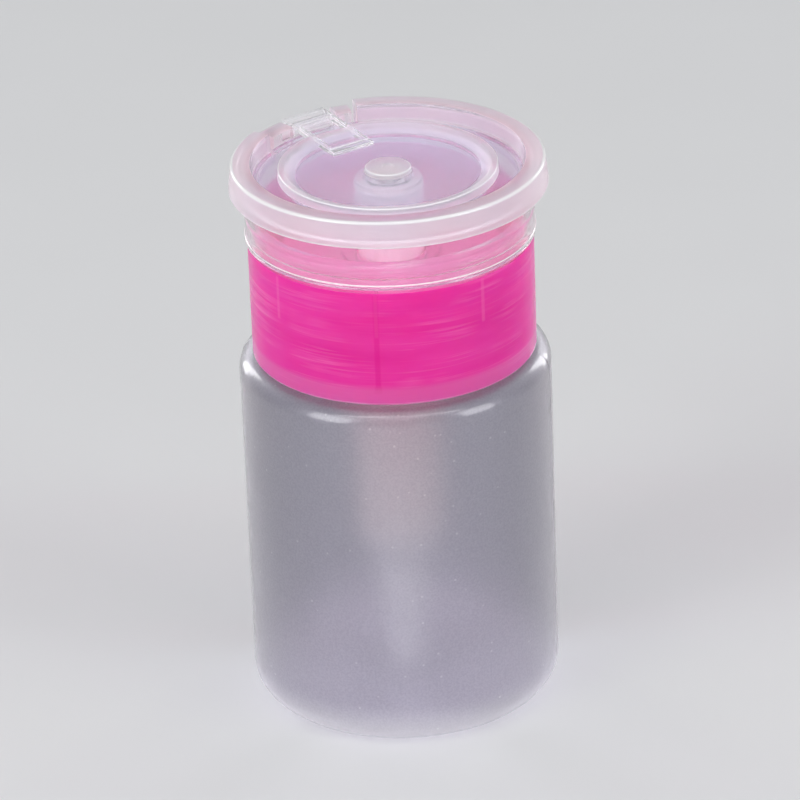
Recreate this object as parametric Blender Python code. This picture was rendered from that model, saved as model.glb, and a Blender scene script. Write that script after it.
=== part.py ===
"""Push-down remover dispenser: a frosted bottle, a screw collar, a clear flip-lid head and a piston pump.

Metres, +Z up. The origin is at the middle of the bottle's base and the lid's hinge is at +Y.
"""

import math

import bmesh
import bpy
from mathutils import Vector

# Clearance between pieces, and the overruns of cuts and joined shapes
GAP = 0.0003
OVERRUN = 0.002
EMBED = 0.0003
MERGE = 0.000001

# Bottle
BOTTLE_RADIUS = 0.0225
BOTTLE_WALL = 0.0011
BODY_HEIGHT = 0.0542
BASE_CORNER = 0.0055
FOOT_WIDTH = 0.0035
BASE_RISE = 0.0014
SHOULDER_RADIUS = 0.0028
SHOULDER_STEP = 0.0052
NECK_HEIGHT = 0.0113
NECK_WALL = 0.0017
NECK_FILLET = 0.0005
LIP_ROUND = 0.0004

# Screw thread of neck and collar
PITCH = 0.0042
THREAD_DEPTH = 0.0013
THREAD_LEAD_IN = 0.0020
THREAD_RUN_OUT = 0.00132
THREAD_ROOT_HALF = 0.00090
THREAD_CREST_HALF = 0.00045
THREAD_FADE_TURNS = 0.12
THREAD_FADE_SHARE = 0.3

# Collar
COLLAR_WALL = 0.00155
COLLAR_STEP_HEIGHT = 0.00335
COLLAR_CORNER = 0.0005
SLEEVE_INSET = 0.00115
SLEEVE_WALL = 0.0008
SLEEVE_HEIGHT = 0.00385
SNAP_RIB_HEIGHT = 0.00035
SNAP_RIB_DROP = 0.0013
SNAP_RIB_HALF = 0.0004
DECK_THICKNESS = 0.0010
DECK_RING_HEIGHT = 0.0005
DECK_RING_WIDTH = 0.0021
GUIDE_GAP = 0.00035
RIB_HEIGHT = 0.00028
RIB_HALF_WIDTH = 0.0002
RIB_DROP = 0.0026
RIB_RISE = 0.0028
RIB_FIRST_DEG = -130.0
RIB_COUNT = 8

# Clear head shell
SHELL_WALL = 0.00105
SHELL_HEIGHT = 0.0076
SHELL_BEAD_HEIGHT = 0.0007
SHELL_BEAD_OUT = 0.00015
SHELL_LIP_ROUND = 0.0003

# Lid
LID_FLOOR_THICKNESS = 0.0010
LID_DISC_RISE = 0.00025
LID_DISC_THICKNESS = 0.0009
LID_OVERHANG = 0.00165
LID_RIM_WIDTH = 0.00287
LID_RIM_DRAFT = 0.00017
LID_RIM_HEIGHT = 0.00225
LID_RIM_WALL = 0.00085
LID_CHANNEL_WIDTH = 0.00361
LID_RING_TOP = 0.0013
LID_RING_FLAT = 0.00075
LID_RING_SLOPE = 0.0014
LID_ROUND = 0.0004
LID_SKIRT_FLARE = 0.00046
LID_SKIRT_DROP = 0.0006
LID_BOSS_RADIUS = 0.0033
LID_BOSS_HEIGHT = 0.0007
LID_BOSS_WALL = 0.0009
LID_PLUG_WALL = 0.00075
LID_PLUG_DEPTH = 0.00125
LID_NOTCH_REACH = 0.00053
LID_NOTCH_LEFT_DEG = 27.0
LID_NOTCH_RIGHT_DEG = 20.5

# Hinge of the lid
HINGE_INSET = 0.0018
HINGE_RISE = 0.00115
PIN_RADIUS = 0.0005
PIN_HALF_LENGTH = 0.0052
KNUCKLE_RADIUS = 0.0013
BLOCK_DROP = 0.0007
BLOCK_UNDERSIDE_DROP = 0.00085
BLOCK_ROOT_DROP = 0.00355
BLOCK_GAP_DEG = 2.5
BLOCK_ROUND = 0.0005
SWEEP_NOTCH_DEPTH = 0.00175

# Tongue of the lid, a sloping strap with a window
TONGUE_HALF_WIDTH = 0.00345
TONGUE_SIDE_GAP = 0.00038
TONGUE_BAR = 0.0009
TONGUE_REACH = 0.00685
TONGUE_INNER_BAR = 0.0022
TONGUE_KNEE_INSET = 0.0009
TONGUE_INNER_RISE = 0.00055
TONGUE_OUTER_RISE = 0.0014
TONGUE_THICKNESS = 0.00085
TONGUE_GROOVE_WIDTH = 0.0003
TONGUE_GROOVE_DEPTH = 0.0002
TONGUE_GROOVE_SHARE = 0.4
TONGUE_NOSE = 0.0004

# Press dish
DISH_SIDE_GAP = 0.0004
DISH_FLOOR_THICKNESS = 0.0009
DISH_RIM_HEIGHT = 0.0008
DISH_RIM_WALL = 0.0009
DISH_DRAIN = 0.00015
DISH_HUB_RISE = 0.0007
DISH_HUB_DROP = 0.0003

# Stem
PRESS_TRAVEL = 0.0050
PRESS_SPARE = 0.0011
COLUMN_RADIUS = 0.00475
COLUMN_WALL = 0.0010
COLUMN_CAP = 0.0012
ROD_RADIUS = 0.0026
ROD_BORE_RADIUS = 0.0012
STEM_FOOT_INSET = 0.00085
STEM_FOOT_HEIGHT = 0.0010
SPIGOT_RADIUS = 0.0023
OUTLET_BORE_RADIUS = 0.0016
OUTLET_SEAT_DROP = 0.0047
OUTLET_BALL_RADIUS = 0.0013

# Nozzle cap
NOZZLE_FLANGE_RADIUS = 0.0033
NOZZLE_FLANGE_HEIGHT = 0.0004
NOZZLE_TIP_HEIGHT = 0.0008
NOZZLE_TIP_WALL = 0.0006
NOZZLE_HOLE_RADIUS = 0.0005
NOZZLE_PLUG_DEPTH = 0.0018
NOZZLE_BORE_RADIUS = 0.0008

# Pump cylinder
CYLINDER_RADIUS = 0.0062
CYLINDER_WALL = 0.00085
CYLINDER_DEPTH = 0.0413
FLANGE_INSET = 0.0001
FLANGE_THICKNESS = 0.0009
FLANGE_PLUG_DEPTH = 0.0030
FLANGE_PLUG_WALL = 0.0009
TAPER_DROP = 0.0003
TAPER_HEIGHT = 0.0060
SOCKET_WALL = 0.0008
SOCKET_DEPTH = 0.0057
INLET_RADIUS = 0.0013
INLET_LENGTH = 0.0015
BALL_CHAMBER_RADIUS = 0.0026

# Pieces inside the pump cylinder
RETAINER_DROP = 0.0106
RETAINER_HEIGHT = 0.0012
RETAINER_BEAD = 0.00025
RETAINER_BEAD_HALF = 0.00015
WIPER_HEIGHT = 0.0008
PISTON_HEIGHT = 0.0070
PISTON_LIP = 0.0012
PISTON_WAIST_DEPTH = 0.0008
PISTON_CUP_DEPTH = 0.0008
CAGE_HEIGHT = 0.0010
CAGE_BOSS_RADIUS = 0.0021
CAGE_BOSS_HEIGHT = 0.0020
CAGE_HOLE_RADIUS = 0.0009
CAGE_SLOT_HALF = 0.0004
CAGE_SLOT_INSET = 0.0007
CAGE_EDGE = 0.00075
CAGE_SLOTS = 4
INLET_BALL_RADIUS = 0.0019
SPRING_SIDE_GAP = 0.0013
SPRING_WIRE_RADIUS = 0.00045
SPRING_END_PITCH = 0.00135
SPRING_ACTIVE_TURNS = 7

# Gasket and dip tube
GASKET_HEIGHT = 0.0005
TUBE_RADIUS = 0.00265
TUBE_WALL = 0.0006
TUBE_BOTTOM_Z = 0.0030
TUBE_BEVEL_CUT = 0.0010

# Facets
LARGE_SIDES = 40
MEDIUM_SIDES = 24
SMALL_SIDES = 16
ARC_STEPS = 4
SPRING_STEPS = 10
SMOOTH_DEG = 32.0

# Radii that follow
NECK_RADIUS = BOTTLE_RADIUS - SHOULDER_STEP
THREAD_CREST_RADIUS = NECK_RADIUS + THREAD_DEPTH
COLLAR_INNER_RADIUS = THREAD_CREST_RADIUS + GAP
COLLAR_RADIUS = COLLAR_INNER_RADIUS + COLLAR_WALL
SLEEVE_RADIUS = COLLAR_RADIUS - SLEEVE_INSET
SHELL_INNER_RADIUS = SLEEVE_RADIUS + GAP
SHELL_RADIUS = SHELL_INNER_RADIUS + SHELL_WALL
LID_RIM_OUTER_RADIUS = SHELL_RADIUS + LID_OVERHANG
LID_SKIRT_RADIUS = LID_RIM_OUTER_RADIUS + LID_SKIRT_FLARE
LID_RIM_INNER_RADIUS = LID_RIM_OUTER_RADIUS - LID_RIM_WIDTH
LID_CHANNEL_RADIUS = LID_RIM_INNER_RADIUS - LID_RIM_DRAFT
LID_RING_RADIUS = LID_CHANNEL_RADIUS - LID_CHANNEL_WIDTH
LID_NOTCH_RADIUS = LID_RIM_INNER_RADIUS - LID_NOTCH_REACH
LID_PLUG_RADIUS = SHELL_INNER_RADIUS - GAP
DISH_RADIUS = LID_RING_RADIUS - LID_RIM_WALL - DISH_SIDE_GAP
FLANGE_RADIUS = NECK_RADIUS - FLANGE_INSET
BORE_RADIUS = CYLINDER_RADIUS - CYLINDER_WALL
SLIDER_RADIUS = BORE_RADIUS - GAP
ROD_CLEAR_RADIUS = ROD_RADIUS + GAP
STEM_FOOT_RADIUS = SLIDER_RADIUS - STEM_FOOT_INSET
SPRING_RADIUS = BORE_RADIUS - SPRING_SIDE_GAP - SPRING_WIRE_RADIUS
SOCKET_RADIUS = TUBE_RADIUS + GAP + SOCKET_WALL
CAGE_SLOT_INNER = CAGE_BOSS_RADIUS + CAGE_SLOT_INSET
CAGE_SLOT_OUTER = SLIDER_RADIUS - CAGE_EDGE

# Levels that follow, from the shoulder up to the lid
NECK_TOP_Z = BODY_HEIGHT + NECK_HEIGHT
THREAD_START_Z = BODY_HEIGHT + THREAD_LEAD_IN
THREAD_TURNS = (NECK_HEIGHT - THREAD_LEAD_IN - THREAD_RUN_OUT) / PITCH
GASKET_BOTTOM_Z = NECK_TOP_Z + GAP
FLANGE_BOTTOM_Z = GASKET_BOTTOM_Z + GASKET_HEIGHT + GAP
FLANGE_TOP_Z = FLANGE_BOTTOM_Z + FLANGE_THICKNESS
DECK_BOTTOM_Z = FLANGE_TOP_Z + GAP
DECK_TOP_Z = DECK_BOTTOM_Z + DECK_THICKNESS
COLLAR_BOTTOM_Z = BODY_HEIGHT + GAP
COLLAR_STEP_Z = DECK_TOP_Z + COLLAR_STEP_HEIGHT
SLEEVE_TOP_Z = COLLAR_STEP_Z + SLEEVE_HEIGHT
SNAP_RIB_Z = SLEEVE_TOP_Z - SNAP_RIB_DROP
SHELL_BOTTOM_Z = COLLAR_STEP_Z + GAP
SHELL_TOP_Z = SHELL_BOTTOM_Z + SHELL_HEIGHT
LID_UNDERSIDE_Z = SHELL_TOP_Z + GAP
LID_SKIRT_BOTTOM_Z = LID_UNDERSIDE_Z - LID_SKIRT_DROP
LID_FLOOR_Z = LID_UNDERSIDE_Z + LID_FLOOR_THICKNESS
LID_RIM_TOP_Z = LID_FLOOR_Z + LID_RIM_HEIGHT
LID_DISC_Z = LID_FLOOR_Z + LID_DISC_RISE
LID_DISC_UNDERSIDE_Z = LID_DISC_Z - LID_DISC_THICKNESS
LID_BOSS_TOP_Z = LID_DISC_Z + LID_BOSS_HEIGHT
HINGE_Y = LID_RIM_OUTER_RADIUS - HINGE_INSET
HINGE_Z = LID_UNDERSIDE_Z + HINGE_RISE
BLOCK_TOP_Z = LID_RIM_TOP_Z - BLOCK_DROP
BLOCK_UNDERSIDE_Z = SHELL_TOP_Z - BLOCK_UNDERSIDE_DROP
BLOCK_ROOT_Z = SHELL_TOP_Z - BLOCK_ROOT_DROP
SWEEP_NOTCH_Z = SHELL_TOP_Z - SWEEP_NOTCH_DEPTH
TONGUE_INNER_Y = LID_RING_RADIUS - TONGUE_REACH
TONGUE_KNEE_Y = HINGE_Y - TONGUE_KNEE_INSET
TONGUE_INNER_TOP_Z = LID_DISC_Z + TONGUE_INNER_RISE
TONGUE_OUTER_TOP_Z = HINGE_Z + TONGUE_OUTER_RISE

# Levels that follow, from the dish down to the ball
DISH_RIM_TOP_Z = LID_DISC_UNDERSIDE_Z - GAP
DISH_FLOOR_Z = DISH_RIM_TOP_Z - DISH_RIM_HEIGHT
DISH_UNDERSIDE_Z = DISH_FLOOR_Z - DISH_FLOOR_THICKNESS
DISH_HUB_TOP_Z = DISH_FLOOR_Z + DISH_HUB_RISE
NOZZLE_FLANGE_Z = DISH_FLOOR_Z + GAP
COLUMN_TOP_Z = DISH_UNDERSIDE_Z - DISH_HUB_DROP - GAP
OUTLET_SEAT_Z = COLUMN_TOP_Z - OUTLET_SEAT_DROP
RETAINER_BOTTOM_Z = FLANGE_BOTTOM_Z - RETAINER_DROP
RETAINER_TOP_Z = RETAINER_BOTTOM_Z + RETAINER_HEIGHT
WIPER_BOTTOM_Z = RETAINER_TOP_Z + GAP
WIPER_TOP_Z = WIPER_BOTTOM_Z + WIPER_HEIGHT
COLUMN_BOTTOM_Z = WIPER_TOP_Z + PRESS_TRAVEL + PRESS_SPARE
PISTON_TOP_Z = RETAINER_BOTTOM_Z - GAP
PISTON_BOTTOM_Z = PISTON_TOP_Z - PISTON_HEIGHT
STEM_FOOT_TOP_Z = PISTON_BOTTOM_Z - GAP
STEM_BOTTOM_Z = STEM_FOOT_TOP_Z - STEM_FOOT_HEIGHT
CAGE_LEDGE_Z = FLANGE_BOTTOM_Z - CYLINDER_DEPTH
CAGE_BOTTOM_Z = CAGE_LEDGE_Z + GAP
CAGE_TOP_Z = CAGE_BOTTOM_Z + CAGE_HEIGHT
SPRING_BOTTOM_Z = CAGE_TOP_Z + GAP
SPRING_TOP_Z = STEM_BOTTOM_Z - GAP
TAPER_TOP_Z = CAGE_LEDGE_Z - TAPER_DROP
TAPER_BOTTOM_Z = TAPER_TOP_Z - TAPER_HEIGHT
SOCKET_STOP_Z = TAPER_BOTTOM_Z - GAP
SOCKET_BOTTOM_Z = SOCKET_STOP_Z - SOCKET_DEPTH
INLET_SEAT_Z = SOCKET_STOP_Z + INLET_LENGTH


def clear_scene():
    """Removes whatever the scene holds."""
    for old in list(bpy.data.objects):
        bpy.data.objects.remove(old, do_unlink=True)


def plastic(name, colour, roughness, alpha=1.0):
    """A moulded plastic or metal surface without metal flake."""
    material = bpy.data.materials.new(name)
    material.use_nodes = True
    shader = material.node_tree.nodes["Principled BSDF"]
    shader.inputs["Base Color"].default_value = (*colour, 1.0)
    shader.inputs["Roughness"].default_value = roughness
    shader.inputs["Metallic"].default_value = 0.0
    shader.inputs["Alpha"].default_value = alpha
    return material


def steel(name, colour, roughness):
    """Bright drawn steel."""
    material = plastic(name, colour, roughness)
    material.node_tree.nodes["Principled BSDF"].inputs["Metallic"].default_value = 1.0
    return material


def link(name, mesh, material):
    """Puts a mesh in the scene as one named piece."""
    piece = bpy.data.objects.new(name, mesh)
    bpy.context.scene.collection.objects.link(piece)
    if material is not None:
        piece.data.materials.append(material)
    return piece


def finish_mesh(bm, name, material):
    """Cleans a bmesh, turns its faces outward, shades it smooth and makes the piece."""
    bmesh.ops.remove_doubles(bm, verts=bm.verts, dist=MERGE)
    bmesh.ops.recalc_face_normals(bm, faces=bm.faces)
    mesh = bpy.data.meshes.new(name)
    bm.to_mesh(mesh)
    bm.free()
    mesh.shade_smooth()
    mesh.set_sharp_from_angle(angle=math.radians(SMOOTH_DEG))
    return link(name, mesh, material)


def turned(name, profile, material, sides, hollow=True):
    """Turns an outline of (radius, height) points about Z. A hollow outline is a closed loop."""
    bm = bmesh.new()
    ring = [bm.verts.new((radius, 0.0, height)) for radius, height in profile]
    edges = [bm.edges.new(pair) for pair in zip(ring, ring[1:])]
    if hollow:
        edges.append(bm.edges.new((ring[-1], ring[0])))
    bmesh.ops.spin(
        bm,
        geom=ring + edges,
        cent=(0.0, 0.0, 0.0),
        axis=(0.0, 0.0, 1.0),
        angle=math.tau,
        steps=sides,
        use_merge=True,
    )
    return finish_mesh(bm, name, material)


def turned_slice(name, profile, start_deg, end_deg, steps):
    """Turns a closed outline through part of a circle and caps both ends."""
    bm = bmesh.new()
    start = math.radians(start_deg)
    rings = []
    for step in range(steps + 1):
        angle = start + math.radians(end_deg - start_deg) * step / steps
        along = Vector((math.cos(angle), math.sin(angle), 0.0))
        places = [along * radius + Vector((0.0, 0.0, height)) for radius, height in profile]
        rings.append([bm.verts.new(place) for place in places])
    bridge(bm, rings)
    return finish_mesh(bm, name, None)


def bridge(bm, rings):
    """Joins rings of points by side faces and closes the first and last ring."""
    count = len(rings[0])
    for before, after in zip(rings, rings[1:]):
        for index in range(count):
            following = (index + 1) % count
            bm.faces.new((before[index], before[following], after[following], after[index]))
    bm.faces.new(list(reversed(rings[0])))
    bm.faces.new(rings[-1])


def extruded_side(name, outline, half_width, material=None):
    """Extrudes an outline of (y, z) points along X, evenly to both sides."""
    bm = bmesh.new()
    rings = []
    for x in (-half_width, half_width):
        rings.append([bm.verts.new((x, y, z)) for y, z in outline])
    bridge(bm, rings)
    return finish_mesh(bm, name, material)


def box(name, low, high):
    """A plain block between two corners."""
    outline = [(low[1], low[2]), (high[1], low[2]), (high[1], high[2]), (low[1], high[2])]
    bm = bmesh.new()
    rings = [[bm.verts.new((x, y, z)) for y, z in outline] for x in (low[0], high[0])]
    bridge(bm, rings)
    return finish_mesh(bm, name, None)


def guide(piece):
    """Hides a shape that only shapes another piece."""
    piece.hide_render = True
    piece.display_type = "WIRE"
    return piece


def combine(piece, other, operation):
    """Adds another shape to a piece, or cuts it away."""
    modifier = piece.modifiers.new(operation.lower(), "BOOLEAN")
    modifier.operation = operation
    modifier.solver = "EXACT"
    modifier.object = guide(other)


def arc(centre_r, centre_z, radius, start_deg, end_deg, steps=ARC_STEPS):
    """Points of a round corner, from one angle to the other."""
    points = []
    for step in range(steps + 1):
        angle = math.radians(start_deg + (end_deg - start_deg) * step / steps)
        points.append((centre_r + radius * math.cos(angle), centre_z + radius * math.sin(angle)))
    return points


def helix_ridge(name, root_radius, crest_radius, start_z, start_turn, turns):
    """A thread ridge that fades in and out at its ends."""
    bm = bmesh.new()
    steps = round(turns * LARGE_SIDES)
    rings = []
    for step in range(steps + 1):
        turn = turns * step / steps
        angle = (start_turn + turn) * math.tau
        height = start_z + PITCH * turn
        from_end = min(turn, turns - turn) / THREAD_FADE_TURNS
        share = THREAD_FADE_SHARE + (1.0 - THREAD_FADE_SHARE) * min(1.0, from_end)
        crest = root_radius + (crest_radius - root_radius) * share
        section = (
            (root_radius, height - THREAD_ROOT_HALF),
            (crest, height - THREAD_CREST_HALF),
            (crest, height + THREAD_CREST_HALF),
            (root_radius, height + THREAD_ROOT_HALF),
        )
        along = Vector((math.cos(angle), math.sin(angle), 0.0))
        rings.append([bm.verts.new(along * radius + Vector((0.0, 0.0, z))) for radius, z in section])
    bridge(bm, rings)
    return finish_mesh(bm, name, None)


def make_bottle(material):
    """Blown bottle with a pushed-up base, a round shoulder and a threaded neck."""
    foot_outer = BOTTLE_RADIUS - BASE_CORNER
    foot_inner = foot_outer - FOOT_WIDTH
    inner_radius = BOTTLE_RADIUS - BOTTLE_WALL
    neck_inner = NECK_RADIUS - NECK_WALL
    shoulder_z = BODY_HEIGHT - SHOULDER_RADIUS
    inner_shoulder_radius = SHOULDER_RADIUS - BOTTLE_WALL
    outline = [(0.0, BASE_RISE), (foot_inner / 2, BASE_RISE - BASE_RISE / 4), (foot_inner, 0.0)]
    outline += arc(foot_outer, BASE_CORNER, BASE_CORNER, -90, 0, 6)
    outline += arc(BOTTLE_RADIUS - SHOULDER_RADIUS, shoulder_z, SHOULDER_RADIUS, 0, 90, 5)
    outline += arc(NECK_RADIUS + NECK_FILLET, BODY_HEIGHT + NECK_FILLET, NECK_FILLET, 270, 180, 2)
    outline += arc(NECK_RADIUS - LIP_ROUND, NECK_TOP_Z - LIP_ROUND, LIP_ROUND, 0, 90, 2)
    outline += arc(neck_inner + LIP_ROUND, NECK_TOP_Z - LIP_ROUND, LIP_ROUND, 90, 180, 2)
    outline += [(neck_inner, BODY_HEIGHT), (neck_inner + NECK_FILLET, BODY_HEIGHT - BOTTLE_WALL)]
    outline += arc(inner_radius - inner_shoulder_radius, shoulder_z, inner_shoulder_radius, 90, 0, 3)
    outline += arc(foot_outer, BASE_CORNER, BASE_CORNER - BOTTLE_WALL, 0, -90, 4)
    outline += [(foot_inner, BOTTLE_WALL), (0.0, BASE_RISE + BOTTLE_WALL)]
    bottle = turned("bottle", outline, material, LARGE_SIDES, hollow=False)
    ridge = helix_ridge(
        "neck_thread_guide",
        NECK_RADIUS - EMBED,
        THREAD_CREST_RADIUS,
        THREAD_START_Z,
        0.0,
        THREAD_TURNS,
    )
    combine(bottle, ridge, "UNION")
    return bottle


def collar_rib(index):
    """One fine rib that runs down the well's wall and on below the deck."""
    inner = SLEEVE_RADIUS - SLEEVE_WALL - RIB_HEIGHT
    rib = box(
        "rib_guide",
        (inner, -RIB_HALF_WIDTH, DECK_BOTTOM_Z - RIB_DROP),
        (COLLAR_INNER_RADIUS + EMBED, RIB_HALF_WIDTH, DECK_TOP_Z + RIB_RISE),
    )
    rib.rotation_euler.z = math.radians(RIB_FIRST_DEG + 360 * index / RIB_COUNT)
    return rib


def make_collar(material):
    """Screw collar: threaded skirt, deck with a guide ring, and the sleeve that carries the head."""
    guide_radius = COLUMN_RADIUS + GUIDE_GAP
    ring_outer = guide_radius + DECK_RING_WIDTH
    well_radius = SLEEVE_RADIUS - SLEEVE_WALL
    rib = SLEEVE_RADIUS + SNAP_RIB_HEIGHT
    outline = [
        (guide_radius, DECK_BOTTOM_Z),
        (guide_radius, DECK_TOP_Z + DECK_RING_HEIGHT),
        (ring_outer, DECK_TOP_Z + DECK_RING_HEIGHT),
        (ring_outer, DECK_TOP_Z),
        (well_radius, DECK_TOP_Z),
        (well_radius, SLEEVE_TOP_Z),
        (SLEEVE_RADIUS, SLEEVE_TOP_Z),
        (SLEEVE_RADIUS, SNAP_RIB_Z + SNAP_RIB_HALF + SNAP_RIB_HEIGHT),
        (rib, SNAP_RIB_Z + SNAP_RIB_HALF),
        (rib, SNAP_RIB_Z - SNAP_RIB_HALF),
        (SLEEVE_RADIUS, SNAP_RIB_Z - SNAP_RIB_HALF - SNAP_RIB_HEIGHT),
        (SLEEVE_RADIUS, COLLAR_STEP_Z),
    ]
    outline += arc(COLLAR_RADIUS - COLLAR_CORNER, COLLAR_STEP_Z - COLLAR_CORNER, COLLAR_CORNER, 90, 0, 2)
    outline += arc(COLLAR_RADIUS - COLLAR_CORNER, COLLAR_BOTTOM_Z + COLLAR_CORNER, COLLAR_CORNER, 0, -90, 2)
    outline += [(COLLAR_INNER_RADIUS, COLLAR_BOTTOM_Z), (COLLAR_INNER_RADIUS, DECK_BOTTOM_Z)]
    collar = turned("collar", outline, material, LARGE_SIDES)
    ridge = helix_ridge(
        "collar_thread_guide",
        COLLAR_INNER_RADIUS + EMBED,
        NECK_RADIUS + GAP,
        THREAD_START_Z,
        0.5,
        THREAD_TURNS,
    )
    combine(collar, ridge, "UNION")
    for index in range(RIB_COUNT):
        combine(collar, collar_rib(index), "UNION")
    return collar


def hinge_block(side, outer_deg):
    """One arc-shaped block that rises from the head shell and holds an end of the pin."""
    inner = LID_NOTCH_RADIUS + GAP
    outer = LID_RIM_OUTER_RADIUS
    middle = SHELL_RADIUS - SHELL_WALL / 2
    outline = [
        (middle, BLOCK_ROOT_Z),
        (outer, BLOCK_UNDERSIDE_Z),
    ]
    outline += arc(outer - BLOCK_ROUND, BLOCK_TOP_Z - BLOCK_ROUND, BLOCK_ROUND, 0, 90, 2)
    outline += arc(inner + BLOCK_ROUND, BLOCK_TOP_Z - BLOCK_ROUND, BLOCK_ROUND, 90, 180, 2)
    outline += [(inner, SHELL_TOP_Z - SHELL_WALL), (middle, SHELL_TOP_Z - SHELL_WALL - SHELL_WALL)]
    inner_deg = math.degrees(math.asin((TONGUE_HALF_WIDTH + TONGUE_SIDE_GAP) / inner))
    near, far = 90 + side * inner_deg, 90 + side * outer_deg
    return turned_slice("block_guide", outline, min(near, far), max(near, far), 3)


def pin_bore(name, half_length):
    """The round hole that the hinge pin lies in."""
    outline = arc(HINGE_Y, HINGE_Z, PIN_RADIUS + GAP, 0, 330, 11)
    return extruded_side(name, outline, half_length)


def make_head_shell(material):
    """Clear ring that snaps over the sleeve, with a bead at its foot and the hinge blocks."""
    groove = SHELL_INNER_RADIUS + SNAP_RIB_HEIGHT
    low = SNAP_RIB_Z - SNAP_RIB_HALF - GAP
    high = SNAP_RIB_Z + SNAP_RIB_HALF + GAP
    bead = SHELL_RADIUS + SHELL_BEAD_OUT
    bead_top = SHELL_BOTTOM_Z + SHELL_BEAD_HEIGHT
    outline = [
        (SHELL_INNER_RADIUS, SHELL_BOTTOM_Z),
        (SHELL_INNER_RADIUS, low - SNAP_RIB_HEIGHT),
        (groove, low),
        (groove, high),
        (SHELL_INNER_RADIUS, high + SNAP_RIB_HEIGHT),
        (SHELL_INNER_RADIUS, SHELL_TOP_Z),
    ]
    outline += arc(SHELL_RADIUS - SHELL_LIP_ROUND, SHELL_TOP_Z - SHELL_LIP_ROUND, SHELL_LIP_ROUND, 90, 0, 2)
    outline += [
        (SHELL_RADIUS, bead_top + SHELL_BEAD_OUT),
        (bead, bead_top),
        (bead, SHELL_BOTTOM_Z + SHELL_BEAD_OUT),
        (SHELL_RADIUS, SHELL_BOTTOM_Z),
    ]
    shell = turned("head_shell", outline, material, LARGE_SIDES)
    gap_half = TONGUE_HALF_WIDTH + GAP
    sweep = box(
        "sweep_notch_guide",
        (-gap_half, SLEEVE_RADIUS - SLEEVE_WALL, SWEEP_NOTCH_Z),
        (gap_half, LID_SKIRT_RADIUS, BLOCK_TOP_Z),
    )
    combine(shell, sweep, "DIFFERENCE")
    for side, notch_deg in ((-1, LID_NOTCH_RIGHT_DEG), (1, LID_NOTCH_LEFT_DEG)):
        combine(shell, hinge_block(side, notch_deg - BLOCK_GAP_DEG), "UNION")
    combine(shell, pin_bore("block_bore_guide", PIN_HALF_LENGTH + GAP), "DIFFERENCE")
    return shell


def lid_outline():
    """Outline of the lid from the top of its boss, out over the rim and back underneath."""
    ring_top = LID_FLOOR_Z + LID_RING_TOP
    hollow_outer = LID_RIM_OUTER_RADIUS - LID_RIM_WALL
    hollow_inner = LID_RIM_INNER_RADIUS + LID_RIM_WALL
    hollow_top = LID_RIM_TOP_Z - LID_RIM_WALL
    ring_flat = LID_RING_RADIUS - LID_ROUND / 2 - LID_RING_FLAT
    ring_foot = ring_flat - LID_RING_SLOPE
    cavity = LID_BOSS_RADIUS - LID_BOSS_WALL
    plug_inner = LID_PLUG_RADIUS - LID_PLUG_WALL
    outline = [(0.0, LID_BOSS_TOP_Z)]
    outline += arc(LID_BOSS_RADIUS - LID_ROUND / 2, LID_BOSS_TOP_Z - LID_ROUND / 2, LID_ROUND / 2, 90, 0, 2)
    outline += [(LID_BOSS_RADIUS, LID_DISC_Z), (ring_foot, LID_DISC_Z), (ring_flat, ring_top)]
    outline += arc(LID_RING_RADIUS - LID_ROUND / 2, ring_top - LID_ROUND / 2, LID_ROUND / 2, 90, 0, 2)
    outline += [(LID_RING_RADIUS, LID_FLOOR_Z), (LID_CHANNEL_RADIUS, LID_FLOOR_Z)]
    outline += arc(LID_RIM_INNER_RADIUS + LID_ROUND, LID_RIM_TOP_Z - LID_ROUND, LID_ROUND, 180, 90, 2)
    outline += arc(LID_RIM_OUTER_RADIUS - LID_ROUND, LID_RIM_TOP_Z - LID_ROUND, LID_ROUND, 90, 0, 3)
    outline += [(LID_SKIRT_RADIUS, LID_SKIRT_BOTTOM_Z), (LID_SKIRT_RADIUS - LID_RIM_WALL, LID_SKIRT_BOTTOM_Z)]
    outline += [(hollow_outer, hollow_top - LID_ROUND), (hollow_outer - LID_ROUND, hollow_top)]
    outline += [(hollow_inner + LID_ROUND, hollow_top), (hollow_inner, hollow_top - LID_ROUND)]
    outline += [(hollow_inner, LID_UNDERSIDE_Z), (LID_PLUG_RADIUS, LID_UNDERSIDE_Z)]
    outline += [
        (LID_PLUG_RADIUS, LID_UNDERSIDE_Z - LID_PLUG_DEPTH + LID_ROUND),
        (LID_PLUG_RADIUS - LID_ROUND, LID_UNDERSIDE_Z - LID_PLUG_DEPTH),
        (plug_inner, LID_UNDERSIDE_Z - LID_PLUG_DEPTH),
        (plug_inner, LID_UNDERSIDE_Z),
    ]
    ring_inner = LID_RING_RADIUS - LID_RIM_WALL
    outline += [(ring_inner, LID_UNDERSIDE_Z), (ring_inner, ring_top - LID_DISC_THICKNESS)]
    outline += [(ring_flat, ring_top - LID_DISC_THICKNESS), (ring_foot, LID_DISC_UNDERSIDE_Z)]
    outline += [(cavity, LID_DISC_UNDERSIDE_Z), (cavity, LID_BOSS_TOP_Z - LID_BOSS_WALL)]
    outline += [(0.0, LID_BOSS_TOP_Z - LID_BOSS_WALL)]
    return outline


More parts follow.
